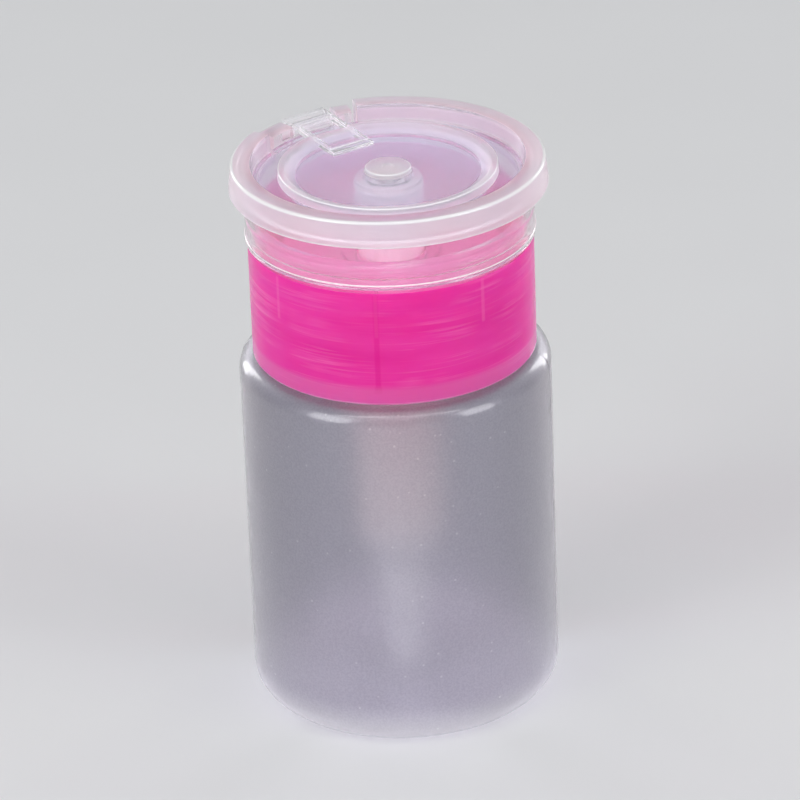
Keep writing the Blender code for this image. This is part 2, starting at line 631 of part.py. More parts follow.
def tongue():
    """Sloping strap from the hinge knuckle to the lid's disc, with its window cut."""
    fall = (TONGUE_OUTER_TOP_Z - TONGUE_INNER_TOP_Z) / (TONGUE_KNEE_Y - TONGUE_INNER_Y)
    groove_y = TONGUE_INNER_Y + TONGUE_INNER_BAR * TONGUE_GROOVE_SHARE
    groove_z = TONGUE_INNER_TOP_Z + (groove_y - TONGUE_INNER_Y) * fall
    outline = [
        (TONGUE_INNER_Y, LID_DISC_Z - EMBED),
        (TONGUE_INNER_Y, TONGUE_INNER_TOP_Z),
        (groove_y, groove_z),
        (groove_y + TONGUE_GROOVE_WIDTH / 2, groove_z - TONGUE_GROOVE_DEPTH),
        (groove_y + TONGUE_GROOVE_WIDTH, groove_z + TONGUE_GROOVE_WIDTH * fall),
        (TONGUE_KNEE_Y, TONGUE_OUTER_TOP_Z),
        (LID_RIM_OUTER_RADIUS - TONGUE_NOSE, TONGUE_OUTER_TOP_Z),
        (LID_RIM_OUTER_RADIUS, TONGUE_OUTER_TOP_Z - TONGUE_NOSE),
        (LID_RIM_OUTER_RADIUS, TONGUE_OUTER_TOP_Z - TONGUE_THICKNESS),
    ]
    outline += arc(HINGE_Y, HINGE_Z, KNUCKLE_RADIUS, 20, -180, 10)
    outline += [
        (HINGE_Y - KNUCKLE_RADIUS, TONGUE_OUTER_TOP_Z - TONGUE_THICKNESS),
        (TONGUE_INNER_Y + TONGUE_INNER_BAR, LID_DISC_Z - EMBED),
    ]
    strap = extruded_side("tongue_guide", outline, TONGUE_HALF_WIDTH)
    window_half = TONGUE_HALF_WIDTH - TONGUE_BAR
    window = box(
        "window_guide",
        (-window_half, TONGUE_INNER_Y + TONGUE_INNER_BAR, LID_FLOOR_Z - OVERRUN),
        (window_half, HINGE_Y - KNUCKLE_RADIUS - EMBED, TONGUE_OUTER_TOP_Z + OVERRUN),
    )
    combine(strap, window, "DIFFERENCE")
    return strap


def make_lid(material):
    """Clear flip lid: recessed top with a ring and a boss, skirt, hinge notch and strap tongue."""
    lid = turned("lid", lid_outline(), material, LARGE_SIDES, hollow=False)
    low = LID_UNDERSIDE_Z - LID_PLUG_DEPTH - OVERRUN
    high = LID_RIM_TOP_Z + OVERRUN
    far = LID_SKIRT_RADIUS + OVERRUN
    plug_inner = LID_PLUG_RADIUS - LID_PLUG_WALL - GAP
    step = LID_UNDERSIDE_Z + EMBED
    outline = [(plug_inner, low), (far, low), (far, high), (LID_NOTCH_RADIUS, high)]
    outline += [(LID_NOTCH_RADIUS, step), (plug_inner, step)]
    notch = turned_slice("notch_guide", outline, 90 - LID_NOTCH_RIGHT_DEG, 90 + LID_NOTCH_LEFT_DEG, 9)
    combine(lid, notch, "DIFFERENCE")
    combine(lid, tongue(), "UNION")
    combine(lid, pin_bore("knuckle_bore_guide", TONGUE_HALF_WIDTH + GAP), "DIFFERENCE")
    return lid


def make_hinge_pin(material):
    """Round pin through the knuckle into both blocks."""
    outline = arc(HINGE_Y, HINGE_Z, PIN_RADIUS, 0, 330, 11)
    return extruded_side("hinge_pin", outline, PIN_HALF_LENGTH, material)


def make_dish(material):
    """Shallow press dish with a rim and a hub that takes the nozzle."""
    hub_bore = SPIGOT_RADIUS + GAP
    recess = NOZZLE_FLANGE_RADIUS + GAP
    rim_inner = DISH_RADIUS - DISH_RIM_WALL
    outline = [
        (hub_bore, DISH_UNDERSIDE_Z - DISH_HUB_DROP),
        (hub_bore, DISH_FLOOR_Z),
        (recess, DISH_FLOOR_Z),
        (recess, DISH_HUB_TOP_Z),
        (COLUMN_RADIUS - LIP_ROUND, DISH_HUB_TOP_Z),
        (COLUMN_RADIUS, DISH_HUB_TOP_Z - LIP_ROUND),
        (COLUMN_RADIUS, DISH_FLOOR_Z),
        (rim_inner, DISH_FLOOR_Z + DISH_DRAIN),
        (rim_inner, DISH_RIM_TOP_Z - LIP_ROUND / 2),
        (rim_inner + LIP_ROUND / 2, DISH_RIM_TOP_Z),
        (DISH_RADIUS - LIP_ROUND / 2, DISH_RIM_TOP_Z),
        (DISH_RADIUS, DISH_RIM_TOP_Z - LIP_ROUND / 2),
    ]
    outline += arc(DISH_RADIUS - DISH_RIM_WALL, DISH_UNDERSIDE_Z + DISH_RIM_WALL, DISH_RIM_WALL, 0, -90, 3)
    outline += [(COLUMN_RADIUS, DISH_UNDERSIDE_Z), (COLUMN_RADIUS, DISH_UNDERSIDE_Z - DISH_HUB_DROP)]
    return turned("dish", outline, material, LARGE_SIDES)


def make_stem(material):
    """Pump stem: the wide cored column, the rod inside it, the outlet seat and the foot."""
    core = COLUMN_RADIUS - COLUMN_WALL
    seat_top = OUTLET_SEAT_Z + (OUTLET_BORE_RADIUS - ROD_BORE_RADIUS)
    outline = [
        (ROD_BORE_RADIUS, STEM_BOTTOM_Z),
        (ROD_BORE_RADIUS, OUTLET_SEAT_Z),
        (OUTLET_BORE_RADIUS, seat_top),
        (OUTLET_BORE_RADIUS, DISH_FLOOR_Z),
        (SPIGOT_RADIUS, DISH_FLOOR_Z),
        (SPIGOT_RADIUS, COLUMN_TOP_Z),
        (COLUMN_RADIUS - LIP_ROUND, COLUMN_TOP_Z),
        (COLUMN_RADIUS, COLUMN_TOP_Z - LIP_ROUND),
        (COLUMN_RADIUS, COLUMN_BOTTOM_Z),
        (core, COLUMN_BOTTOM_Z),
        (core, COLUMN_TOP_Z - COLUMN_CAP),
        (ROD_RADIUS, COLUMN_TOP_Z - COLUMN_CAP),
        (ROD_RADIUS, STEM_FOOT_TOP_Z),
        (STEM_FOOT_RADIUS, STEM_FOOT_TOP_Z),
        (STEM_FOOT_RADIUS, STEM_BOTTOM_Z),
    ]
    return turned("stem", outline, material, MEDIUM_SIDES)


def make_nozzle_cap(material):
    """Small outlet cap whose plug stops the outlet ball."""
    plug = OUTLET_BORE_RADIUS - GAP
    tip = LID_BOSS_RADIUS - LID_BOSS_WALL - GAP
    flange_top = NOZZLE_FLANGE_Z + NOZZLE_FLANGE_HEIGHT
    tip_top = flange_top + NOZZLE_TIP_HEIGHT
    outline = [
        (NOZZLE_BORE_RADIUS, NOZZLE_FLANGE_Z - NOZZLE_PLUG_DEPTH),
        (NOZZLE_BORE_RADIUS, tip_top - NOZZLE_TIP_WALL),
        (NOZZLE_HOLE_RADIUS, tip_top - NOZZLE_TIP_WALL),
        (NOZZLE_HOLE_RADIUS, tip_top),
        (tip - LIP_ROUND / 2, tip_top),
        (tip, tip_top - LIP_ROUND / 2),
        (tip, flange_top),
        (NOZZLE_FLANGE_RADIUS, flange_top),
        (NOZZLE_FLANGE_RADIUS, NOZZLE_FLANGE_Z),
        (plug, NOZZLE_FLANGE_Z),
        (plug, NOZZLE_FLANGE_Z - NOZZLE_PLUG_DEPTH),
    ]
    return turned("nozzle_cap", outline, material, SMALL_SIDES)


def ball(name, radius, seat_z, seat_radius, material):
    """A valve ball that lies over a seat coned at 45 degrees, one clearance above it."""
    centre_z = seat_z - seat_radius + (radius + GAP) * math.sqrt(2)
    mesh = bpy.data.meshes.new(name)
    bm = bmesh.new()
    bmesh.ops.create_icosphere(bm, subdivisions=2, radius=radius)
    bm.to_mesh(mesh)
    bm.free()
    mesh.shade_smooth()
    piece = link(name, mesh, material)
    piece.location = (0.0, 0.0, centre_z)
    return piece


def make_cylinder(material):
    """Pump cylinder with the flange that lies over the neck, the ball seat and the tube socket."""
    plug_outer = NECK_RADIUS - NECK_WALL - GAP
    plug_inner = plug_outer - FLANGE_PLUG_WALL
    plug_bottom = FLANGE_BOTTOM_Z - FLANGE_PLUG_DEPTH
    groove = BORE_RADIUS + RETAINER_BEAD
    groove_middle = RETAINER_BOTTOM_Z + RETAINER_HEIGHT / 2
    groove_half = RETAINER_BEAD_HALF + GAP
    seat_top = INLET_SEAT_Z + (BALL_CHAMBER_RADIUS - INLET_RADIUS)
    socket_bore = TUBE_RADIUS + GAP
    outline = [
        (BORE_RADIUS, FLANGE_TOP_Z),
        (FLANGE_RADIUS, FLANGE_TOP_Z),
        (FLANGE_RADIUS, FLANGE_BOTTOM_Z),
        (plug_outer, FLANGE_BOTTOM_Z),
        (plug_outer, plug_bottom + LIP_ROUND),
        (plug_outer - LIP_ROUND, plug_bottom),
        (plug_inner, plug_bottom),
        (plug_inner, FLANGE_BOTTOM_Z),
        (CYLINDER_RADIUS + NECK_FILLET, FLANGE_BOTTOM_Z),
        (CYLINDER_RADIUS, FLANGE_BOTTOM_Z - NECK_FILLET),
        (CYLINDER_RADIUS, TAPER_TOP_Z),
        (SOCKET_RADIUS, TAPER_BOTTOM_Z),
        (SOCKET_RADIUS, SOCKET_BOTTOM_Z),
        (socket_bore, SOCKET_BOTTOM_Z),
        (socket_bore, SOCKET_STOP_Z),
        (INLET_RADIUS, SOCKET_STOP_Z),
        (INLET_RADIUS, INLET_SEAT_Z),
        (BALL_CHAMBER_RADIUS, seat_top),
        (BALL_CHAMBER_RADIUS, CAGE_LEDGE_Z),
        (BORE_RADIUS, CAGE_LEDGE_Z),
        (BORE_RADIUS, groove_middle - groove_half - RETAINER_BEAD),
        (groove, groove_middle - groove_half),
        (groove, groove_middle + groove_half),
        (BORE_RADIUS, groove_middle + groove_half + RETAINER_BEAD),
    ]
    return turned("pump_cylinder", outline, material, MEDIUM_SIDES)


def make_gasket(material):
    """Flat ring between the neck and the pump's flange."""
    inner = NECK_RADIUS - NECK_WALL
    top = GASKET_BOTTOM_Z + GASKET_HEIGHT
    outline = [(inner, GASKET_BOTTOM_Z), (inner, top), (NECK_RADIUS, top), (NECK_RADIUS, GASKET_BOTTOM_Z)]
    return turned("neck_gasket", outline, material, MEDIUM_SIDES)


def make_retainer(material):
    """Ring snapped into the bore, the top stop of the piston."""
    middle = RETAINER_BOTTOM_Z + RETAINER_HEIGHT / 2
    bead = SLIDER_RADIUS + RETAINER_BEAD
    outline = [
        (ROD_CLEAR_RADIUS, RETAINER_BOTTOM_Z),
        (ROD_CLEAR_RADIUS, RETAINER_TOP_Z),
        (SLIDER_RADIUS, RETAINER_TOP_Z),
        (SLIDER_RADIUS, middle + RETAINER_BEAD_HALF + RETAINER_BEAD),
        (bead, middle + RETAINER_BEAD_HALF),
        (bead, middle - RETAINER_BEAD_HALF),
        (SLIDER_RADIUS, middle - RETAINER_BEAD_HALF - RETAINER_BEAD),
        (SLIDER_RADIUS, RETAINER_BOTTOM_Z),
    ]
    return turned("retaining_ring", outline, material, SMALL_SIDES)


def make_wiper(material):
    """Soft ring that wipes the rod above the retaining ring."""
    outline = [
        (ROD_CLEAR_RADIUS, WIPER_BOTTOM_Z),
        (ROD_CLEAR_RADIUS, WIPER_TOP_Z),
        (SLIDER_RADIUS - WIPER_HEIGHT / 2, WIPER_TOP_Z),
        (SLIDER_RADIUS, WIPER_TOP_Z - WIPER_HEIGHT / 2),
        (SLIDER_RADIUS, WIPER_BOTTOM_Z),
    ]
    return turned("rod_wiper", outline, material, SMALL_SIDES)


def make_piston(material):
    """Piston with a sealing lip at each end and a slim waist."""
    waist = SLIDER_RADIUS - PISTON_WAIST_DEPTH
    outline = [
        (ROD_CLEAR_RADIUS, PISTON_BOTTOM_Z),
        (ROD_CLEAR_RADIUS, PISTON_TOP_Z),
        (waist, PISTON_TOP_Z),
        (SLIDER_RADIUS, PISTON_TOP_Z - PISTON_WAIST_DEPTH / 2),
        (SLIDER_RADIUS, PISTON_TOP_Z - PISTON_LIP),
        (waist, PISTON_TOP_Z - PISTON_LIP - PISTON_WAIST_DEPTH),
        (waist, PISTON_BOTTOM_Z + PISTON_LIP + PISTON_WAIST_DEPTH),
        (SLIDER_RADIUS, PISTON_BOTTOM_Z + PISTON_LIP),
        (SLIDER_RADIUS, PISTON_BOTTOM_Z),
        (SLIDER_RADIUS - PISTON_WAIST_DEPTH / 2, PISTON_BOTTOM_Z),
        (waist - PISTON_WAIST_DEPTH / 2, PISTON_BOTTOM_Z + PISTON_CUP_DEPTH),
        (ROD_CLEAR_RADIUS + PISTON_WAIST_DEPTH / 2, PISTON_BOTTOM_Z + PISTON_CUP_DEPTH),
    ]
    return turned("piston", outline, material, MEDIUM_SIDES)


def make_cage(material):
    """Slotted disc that keeps the inlet ball down and centres the spring."""
    boss_top = CAGE_TOP_Z + CAGE_BOSS_HEIGHT
    outline = [
        (CAGE_HOLE_RADIUS, CAGE_BOTTOM_Z),
        (CAGE_HOLE_RADIUS, boss_top),
        (CAGE_BOSS_RADIUS - LIP_ROUND, boss_top),
        (CAGE_BOSS_RADIUS, boss_top - LIP_ROUND),
        (CAGE_BOSS_RADIUS, CAGE_TOP_Z),
        (SLIDER_RADIUS, CAGE_TOP_Z),
        (SLIDER_RADIUS, CAGE_BOTTOM_Z),
    ]
    cage = turned("ball_cage", outline, material, SMALL_SIDES)
    for index in range(CAGE_SLOTS):
        slot = box(
            "slot_guide",
            (CAGE_SLOT_INNER, -CAGE_SLOT_HALF, CAGE_BOTTOM_Z - OVERRUN),
            (CAGE_SLOT_OUTER, CAGE_SLOT_HALF, CAGE_TOP_Z + OVERRUN),
        )
        slot.rotation_euler.z = math.tau * (index + 0.5) / CAGE_SLOTS
        combine(cage, slot, "DIFFERENCE")
    return cage


def spring_points():
    """Points along the spring: a tight turn at each end and even turns between."""
    length = SPRING_TOP_Z - SPRING_BOTTOM_Z - SPRING_WIRE_RADIUS - SPRING_WIRE_RADIUS
    active = (length - SPRING_END_PITCH - SPRING_END_PITCH) / SPRING_ACTIVE_TURNS
    turns = SPRING_ACTIVE_TURNS + 2
    count = turns * SPRING_STEPS
    points = []
    height = SPRING_BOTTOM_Z + SPRING_WIRE_RADIUS
    for step in range(count + 1):
        angle = math.tau * step / SPRING_STEPS
        points.append(Vector((SPRING_RADIUS * math.cos(angle), SPRING_RADIUS * math.sin(angle), height)))
        turn = (step + 0.5) / SPRING_STEPS
        at_end = turn < 1 or turn > turns - 1
        height += (SPRING_END_PITCH if at_end else active) / SPRING_STEPS
    return points


def least_gap(points, wire_radius):
    """Clear distance between neighbouring turns."""
    nearest = min(
        (a - b).length
        for index, a in enumerate(points)
        for b in points[index + SPRING_STEPS // 2:]
    )
    return nearest - wire_radius - wire_radius


def make_spring(material):
    """Return spring as one round wire."""
    points = spring_points()
    print("least gap between spring turns:", round(least_gap(points, SPRING_WIRE_RADIUS), 6))
    curve = bpy.data.curves.new("return_spring", "CURVE")
    curve.dimensions = "3D"
    curve.bevel_depth = SPRING_WIRE_RADIUS
    curve.bevel_resolution = 1
    curve.use_fill_caps = True
    spline = curve.splines.new("POLY")
    spline.points.add(len(points) - 1)
    for place, point in zip(spline.points, points):
        place.co = (*point, 1.0)
    piece = bpy.data.objects.new("return_spring", curve)
    bpy.context.scene.collection.objects.link(piece)
    curve.materials.append(material)
    return piece


def make_dip_tube(material):
    """Straight tube from the socket down to the base, cut at a slant at its foot."""
    inner = TUBE_RADIUS - TUBE_WALL
    top = SOCKET_STOP_Z - GAP
    outline = [(inner, TUBE_BOTTOM_Z), (inner, top), (TUBE_RADIUS, top), (TUBE_RADIUS, TUBE_BOTTOM_Z)]
    tube = turned("dip_tube", outline, material, SMALL_SIDES)
    low = TUBE_BOTTOM_Z - OVERRUN
    wide = TUBE_RADIUS + OVERRUN
    slant = [(-wide, low), (wide, low), (wide, TUBE_BOTTOM_Z + TUBE_BEVEL_CUT)]
    combine(tube, extruded_side("slant_guide", slant, wide), "DIFFERENCE")
    return tube


def build():
    """Makes every piece of the dispenser."""
    clear_scene()
    frosted = plastic("frosted_bottle", (0.80, 0.78, 0.84), 0.55, 0.55)
    pink = plastic("pink_collar", (0.84, 0.03, 0.30), 0.28)
    clear = plastic("clear_head", (0.86, 0.78, 0.86), 0.18, 0.40)
    cream = plastic("cream_stem", (0.88, 0.72, 0.70), 0.40)
    natural = plastic("natural_pump", (0.85, 0.83, 0.85), 0.45)
    soft = plastic("soft_seal", (0.80, 0.80, 0.82), 0.60)
    metal = steel("spring_steel", (0.62, 0.62, 0.63), 0.25)
    make_bottle(frosted)
    make_collar(pink)
    make_head_shell(clear)
    make_lid(clear)
    make_hinge_pin(clear)
    make_dish(clear)
    make_stem(cream)
    make_nozzle_cap(clear)
    ball("outlet_ball", OUTLET_BALL_RADIUS, OUTLET_SEAT_Z, ROD_BORE_RADIUS, metal)
    make_cylinder(natural)
    make_gasket(soft)
    make_retainer(natural)
    make_wiper(soft)
    make_piston(soft)
    make_cage(natural)
    ball("inlet_ball", INLET_BALL_RADIUS, INLET_SEAT_Z, INLET_RADIUS, metal)
    make_spring(metal)
    make_dip_tube(natural)


build()
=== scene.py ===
"""Looks of the push-down remover dispenser: frosted bottle, pink collar, clear lid and pump.

Metres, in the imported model's frame: +Z up, origin in the middle of the base, hinge at +Y.
"""

import math

import bmesh
import bpy
from mathutils import Matrix, Vector


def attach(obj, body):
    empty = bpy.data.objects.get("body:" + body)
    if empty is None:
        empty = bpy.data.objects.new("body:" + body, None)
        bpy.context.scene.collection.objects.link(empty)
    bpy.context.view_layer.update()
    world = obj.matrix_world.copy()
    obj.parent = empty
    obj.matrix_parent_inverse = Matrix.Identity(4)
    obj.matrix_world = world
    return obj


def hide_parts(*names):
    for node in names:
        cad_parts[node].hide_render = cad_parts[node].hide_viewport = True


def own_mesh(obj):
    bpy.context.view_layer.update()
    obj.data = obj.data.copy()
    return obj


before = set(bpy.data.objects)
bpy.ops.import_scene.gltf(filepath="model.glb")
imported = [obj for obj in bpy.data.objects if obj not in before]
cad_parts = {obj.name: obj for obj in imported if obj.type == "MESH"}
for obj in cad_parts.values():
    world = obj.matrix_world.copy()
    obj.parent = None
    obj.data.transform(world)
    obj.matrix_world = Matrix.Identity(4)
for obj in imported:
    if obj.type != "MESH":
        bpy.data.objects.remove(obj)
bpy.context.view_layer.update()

# Clearance between pieces, and the small overlaps of joined shapes
GAP = 0.0003
OVERRUN = 0.002
EMBED = 0.0003
MERGE = 0.0000001

# Bottle
BOTTLE_RADIUS = 0.0225
BOTTLE_WALL = 0.0011
BODY_HEIGHT = 0.0542
BASE_CORNER = 0.0055
BASE_RISE = 0.0014
BASE_MID_SHARE = 0.78
FOOT_INNER_RADIUS = 0.0135
SHOULDER_RADIUS = 0.0028
NECK_RADIUS = 0.0173
NECK_WALL = 0.0017
NECK_TOP_Z = 0.0655
NECK_FILLET = 0.0005
LIP_ROUND = 0.0004
PARTING_DEG = -45.0
PARTING_HEIGHT = 0.00011
PARTING_HALF = 0.00016
HAZE_LOW_Z = 0.0005
HAZE_HIGH_Z = 0.0075
SPECKS_PER_METRE = 400
SPECK_REACH = 0.095

# Screw thread
PITCH = 0.0042
THREAD_CREST_RADIUS = 0.0186
THREAD_START_Z = 0.0562
THREAD_ROOT_HALF = 0.0009
THREAD_CREST_HALF = 0.00045
THREAD_TURNS = 1.9
THREAD_FADE_TURNS = 0.12
THREAD_FADE_SHARE = 0.3

# Collar
COLLAR_RADIUS = 0.02045
COLLAR_INNER_RADIUS = 0.0189
COLLAR_BOTTOM_Z = 0.0545
COLLAR_STEP_Z = 0.07215
SLEEVE_RADIUS = 0.0193
SLEEVE_WALL = 0.0008
SLEEVE_TOP_Z = 0.0760
SNAP_RIB_HEIGHT = 0.00035
SNAP_RIB_Z = 0.0747
SNAP_RIB_HALF = 0.0004
DECK_BOTTOM_Z = 0.0678
DECK_TOP_Z = 0.0688
DECK_RING_TOP_Z = 0.0693
DECK_RING_RADIUS = 0.0072
GUIDE_RADIUS = 0.0051
RIB_FIRST_DEG = -129.9
RIB_COUNT = 8
RIB_HEIGHT = 0.00028
RIB_HALF = 0.0002
RIB_BOTTOM_Z = 0.0651
RIB_TOP_Z = 0.0716
FLOW_LINE_HALF = 0.00022
FLOW_LINE_HEIGHT = 0.00012
FLOW_DOT_Z = 0.0569
FLOW_DOT_HALF = 0.0005
FOOT_BAND_LOW_Z = COLLAR_BOTTOM_Z + 0.0022
FOOT_BAND_HIGH_Z = COLLAR_BOTTOM_Z + 0.0034
STREAK_DEPTH = 0.00002

# Clear head shell
SHELL_INNER_RADIUS = 0.0196
SHELL_RADIUS = 0.02065
SHELL_BOTTOM_Z = 0.07245
SHELL_TOP_Z = 0.08005
SHELL_BEAD_HEIGHT = 0.0007
SHELL_BEAD_OUT = 0.00015
BLOCK_TOP_Z = 0.0829
BLOCK_ROOT_Z = 0.0765
BLOCK_UNDERSIDE_Z = 0.0792
BLOCK_INNER_DEG = 11.5
BLOCK_GAP_DEG = 2.5
BLOCK_ROUND = 0.0005
SWEEP_NOTCH_Z = 0.0783

# Lid
LID_UNDERSIDE_Z = 0.08035
LID_FLOOR_Z = 0.08135
LID_DISC_Z = 0.0816
LID_DISC_UNDERSIDE_Z = 0.0807
LID_RING_RADIUS = 0.01565
LID_RING_TOP_Z = 0.08265
LID_RING_FLAT = 0.00075
LID_RING_SLOPE = 0.0014
LID_CHANNEL_RADIUS = 0.01926
LID_RIM_INNER_RADIUS = 0.01943
LID_RIM_OUTER_RADIUS = 0.0223
LID_RIM_TOP_Z = 0.0836
LID_RIM_WALL = 0.00085
LID_SKIRT_RADIUS = 0.02276
LID_SKIRT_BOTTOM_Z = 0.07975
LID_ROUND = 0.0004
LID_BOSS_RADIUS = 0.0033
LID_BOSS_TOP_Z = 0.0823
LID_BOSS_WALL = 0.0009
LID_PLUG_RADIUS = 0.0193
LID_PLUG_WALL = 0.00075
LID_PLUG_DEPTH = 0.00125
LID_NOTCH_RADIUS = 0.0189
LID_NOTCH_LEFT_DEG = 27.0
LID_NOTCH_RIGHT_DEG = 20.5
GATE_DIMPLE_RADIUS = 0.0007
GATE_DIMPLE_DEPTH = 0.00012

# Hinge and tongue of the lid
HINGE_Y = 0.0205
HINGE_Z = 0.0815
PIN_RADIUS = 0.0005
PIN_HALF_LENGTH = 0.0052
KNUCKLE_RADIUS = 0.0013
KNUCKLE_START_DEG = 20
KNUCKLE_STEP_DEG = 10
KNUCKLE_STEPS = 20
TONGUE_HALF_WIDTH = 0.00345
TONGUE_BAR = 0.0009
TONGUE_INNER_Y = 0.0088
TONGUE_INNER_BAR = 0.0022
TONGUE_KNEE_Y = 0.0196
TONGUE_INNER_TOP_Z = 0.08215
TONGUE_OUTER_TOP_Z = 0.0829
TONGUE_THICKNESS = 0.00085
TONGUE_LIFT = EMBED / 30
TONGUE_GROOVE_SHARE = 0.4
TONGUE_GROOVE_WIDTH = 0.0003
TONGUE_GROOVE_DEPTH = 0.0002
TONGUE_BEVEL = 0.00024
TONGUE_BEVEL_FROM_DEG = 50
RING_DIP_Z = 0.0822

# Press dish, stem and nozzle
DISH_RADIUS = 0.0144
DISH_RIM_TOP_Z = 0.0804
DISH_FLOOR_Z = 0.0796
DISH_UNDERSIDE_Z = 0.0787
DISH_HUB_TOP_Z = 0.0803
DISH_HUB_BOTTOM_Z = 0.0784
DISH_RIM_WALL = 0.0009
COLUMN_RADIUS = 0.00475
COLUMN_WALL = 0.0010
COLUMN_TOP_Z = 0.0781
COLUMN_BOTTOM_Z = 0.0644
COLUMN_CAP = 0.0012
ROD_RADIUS = 0.0026
ROD_BORE_RADIUS = 0.0012
STEM_FOOT_RADIUS = 0.0042
STEM_FOOT_TOP_Z = 0.0484
STEM_BOTTOM_Z = 0.0474
SPIGOT_RADIUS = 0.0023
OUTLET_BORE_RADIUS = 0.0016
OUTLET_SEAT_Z = 0.0734
NOZZLE_FLANGE_RADIUS = 0.0033
NOZZLE_FLANGE_Z = 0.0799
NOZZLE_FLANGE_TOP_Z = 0.0803
NOZZLE_TIP_RADIUS = 0.0021
NOZZLE_TOP_Z = 0.0811
NOZZLE_HOLE_RADIUS = 0.0005
NOZZLE_BORE_RADIUS = 0.0008
NOZZLE_PLUG_DEPTH = 0.0018

# Return spring
SPRING_BOTTOM_Z = 0.0269
SPRING_TOP_Z = 0.0471
SPRING_RADIUS = 0.0036
SPRING_WIRE_RADIUS = 0.00045
SPRING_END_PITCH = 0.00135
SPRING_ACTIVE_TURNS = 7
SPRING_STEPS = 24
WIRE_SIDES = 10

# Facets
SIDES = 192
SMALL_SIDES = 64
ROUND_STEPS = 5
BOTTLE_ROUND_STEPS = 10
BLOCK_STEPS = 8
NOTCH_STEPS = 24
LONGEST_EDGE = 0.0009
SMOOTH_DEG = 33.0
# Share of a marked corner's reach whose faces are painted pale as a highlight edge
EDGE_HIGHLIGHT_SHARE = 0.95

# Where points stand round a fine ridge, in halves of its width, and the room kept for them
MARK_SHARES = (-3, -2, -1.2, -0.6, 0, 0.6, 1.2, 2, 3)
MARK_ROOM = 4

# Plastics
NOISE_SPAN = (0.3, 0.7)
COLOUR_STOPS = (0.35, 0.65)
LINE_FADE = (1.5, 0.6)
STREAK_SCALE = 70
STREAK_SPAN = (0.54, 0.68)
PATCH_SCALE = 95
PATCH_SPAN = (0.44, 0.60)
SKIN_IOR = 1.5
GLOW_DEPTH = 0.0015
STEM_GLOW_DEPTH = 0.0012
WARM_LOW_Z = 0.0225
WARM_HIGH_Z = 0.0285

# Camera, fitted to the photograph's circles
CAMERA_PLACE = (-0.36874, -0.57218, 0.38254)
CAMERA_AIM = (0.00036, -0.00023, 0.04526)
CAMERA_ROLL_DEG = -2.235
CAMERA_LENS = 236.33
SENSOR_WIDTH = 36.0
CAMERA_AZIMUTH_DEG = -32.8
CAMERA_CLIP_START = 0.05
CAMERA_CLIP_END = 50.0

# Lamps: name, place (to the camera's right, towards the camera, up), width, height, power
LAMPS = (
    ("left_soft", (-0.85, 0.7, 0.5), 0.6, 0.8, 5.6),
    ("right_soft", (0.95, 0.55, 0.45), 0.5, 0.7, 4.0),
    ("top_soft", (-0.05, 0.0, 1.15), 0.9, 0.7, 0.9),
    ("front_high", (0.0, 0.5, 0.95), 1.5, 0.08, 2.4),
    ("back_left", (-0.7, -0.9, 0.3), 0.25, 0.8, 2.6),
    ("back_right", (0.75, -0.85, 0.3), 0.25, 0.8, 2.6),
)

# Surroundings
SKY_COLOUR = (0.94, 0.95, 0.97)
SKY_STRENGTH = 0.34
FLOOR_HALF = 6.0
FLOOR_Z = -0.00002


def add(name, data):
    """Puts a mesh, camera or lamp in the scene under its name."""
    made = bpy.data.objects.new(name, data)
    bpy.context.scene.collection.objects.link(made)
    return made


def shade(mesh):
    """Shades a mesh smooth, but keeps its sharp edges."""
    mesh.shade_smooth()
    mesh.set_sharp_from_angle(angle=math.radians(SMOOTH_DEG))


def finish_mesh(bm, name, material):
    """Cleans a bmesh, turns its faces outward, shades it and makes the piece."""
    bmesh.ops.remove_doubles(bm, verts=bm.verts, dist=MERGE)
    bmesh.ops.dissolve_degenerate(bm, edges=bm.edges, dist=MERGE)
    bmesh.ops.recalc_face_normals(bm, faces=bm.faces)
    mesh = bpy.data.meshes.new(name)
    bm.to_mesh(mesh)
    bm.free()
    shade(mesh)
    if material is not None:
        mesh.materials.append(material)
    return add(name, mesh)


def rounded(corners, steps=ROUND_STEPS, closed=True):
    """Replaces each (radius, height, corner radius) by a true arc between its two edges."""
    points = []
    count = len(corners)
    for index, (r, z, corner, *_) in enumerate(corners):
        here = Vector((r, z))
        at_end = not closed and index in (0, count - 1)
        if corner <= 0 or at_end:
            points.append((r, z))
            continue
        before = Vector(corners[index - 1][:2]) - here
        after = Vector(corners[(index + 1) % count][:2]) - here
        half = before.angle(after) / 2
        reach = min(corner / math.tan(half), before.length / 2, after.length / 2)
        radius = reach * math.tan(half)
        back, ahead = before.normalized(), after.normalized()
        middle = here + (back + ahead).normalized() * radius / math.sin(half)
        arm = here + back * reach - middle
        turn = arm.angle_signed(here + ahead * reach - middle)
        for step in range(steps + 1):
            swing = -turn * step / steps
            cosine, sine = math.cos(swing), math.sin(swing)
            r = middle.x + arm.x * cosine - arm.y * sine
            z = middle.y + arm.x * sine + arm.y * cosine
            points.append((r, z))
    return points


def finish_faces(piece, material, chosen):
    """Gives another finish to the faces whose middle is chosen by (radius, height)."""
    mesh = piece.data
    mesh.materials.append(material)
    for face in mesh.polygons:
        if chosen(math.hypot(face.center.x, face.center.y), face.center.z):
            face.material_index = len(mesh.materials) - 1


def paint_edge_highlights(piece, corners, material, *others):
    """Gives the marked corners, and other zones of (radius, height, reach), edges painted pale: a
    painted highlight.
    """
    zones = [(r, z, reach * EDGE_HIGHLIGHT_SHARE) for r, z, reach, *mark in corners if mark]
    zones += others

    def chosen(radius, height):
        return any(math.dist((radius, height), (r, z)) < reach for r, z, reach in zones)

    finish_faces(piece, material, chosen)


def even_angles(count=SIDES):
    """Directions that divide the circle evenly."""
    return [math.tau * index / count for index in range(count)]


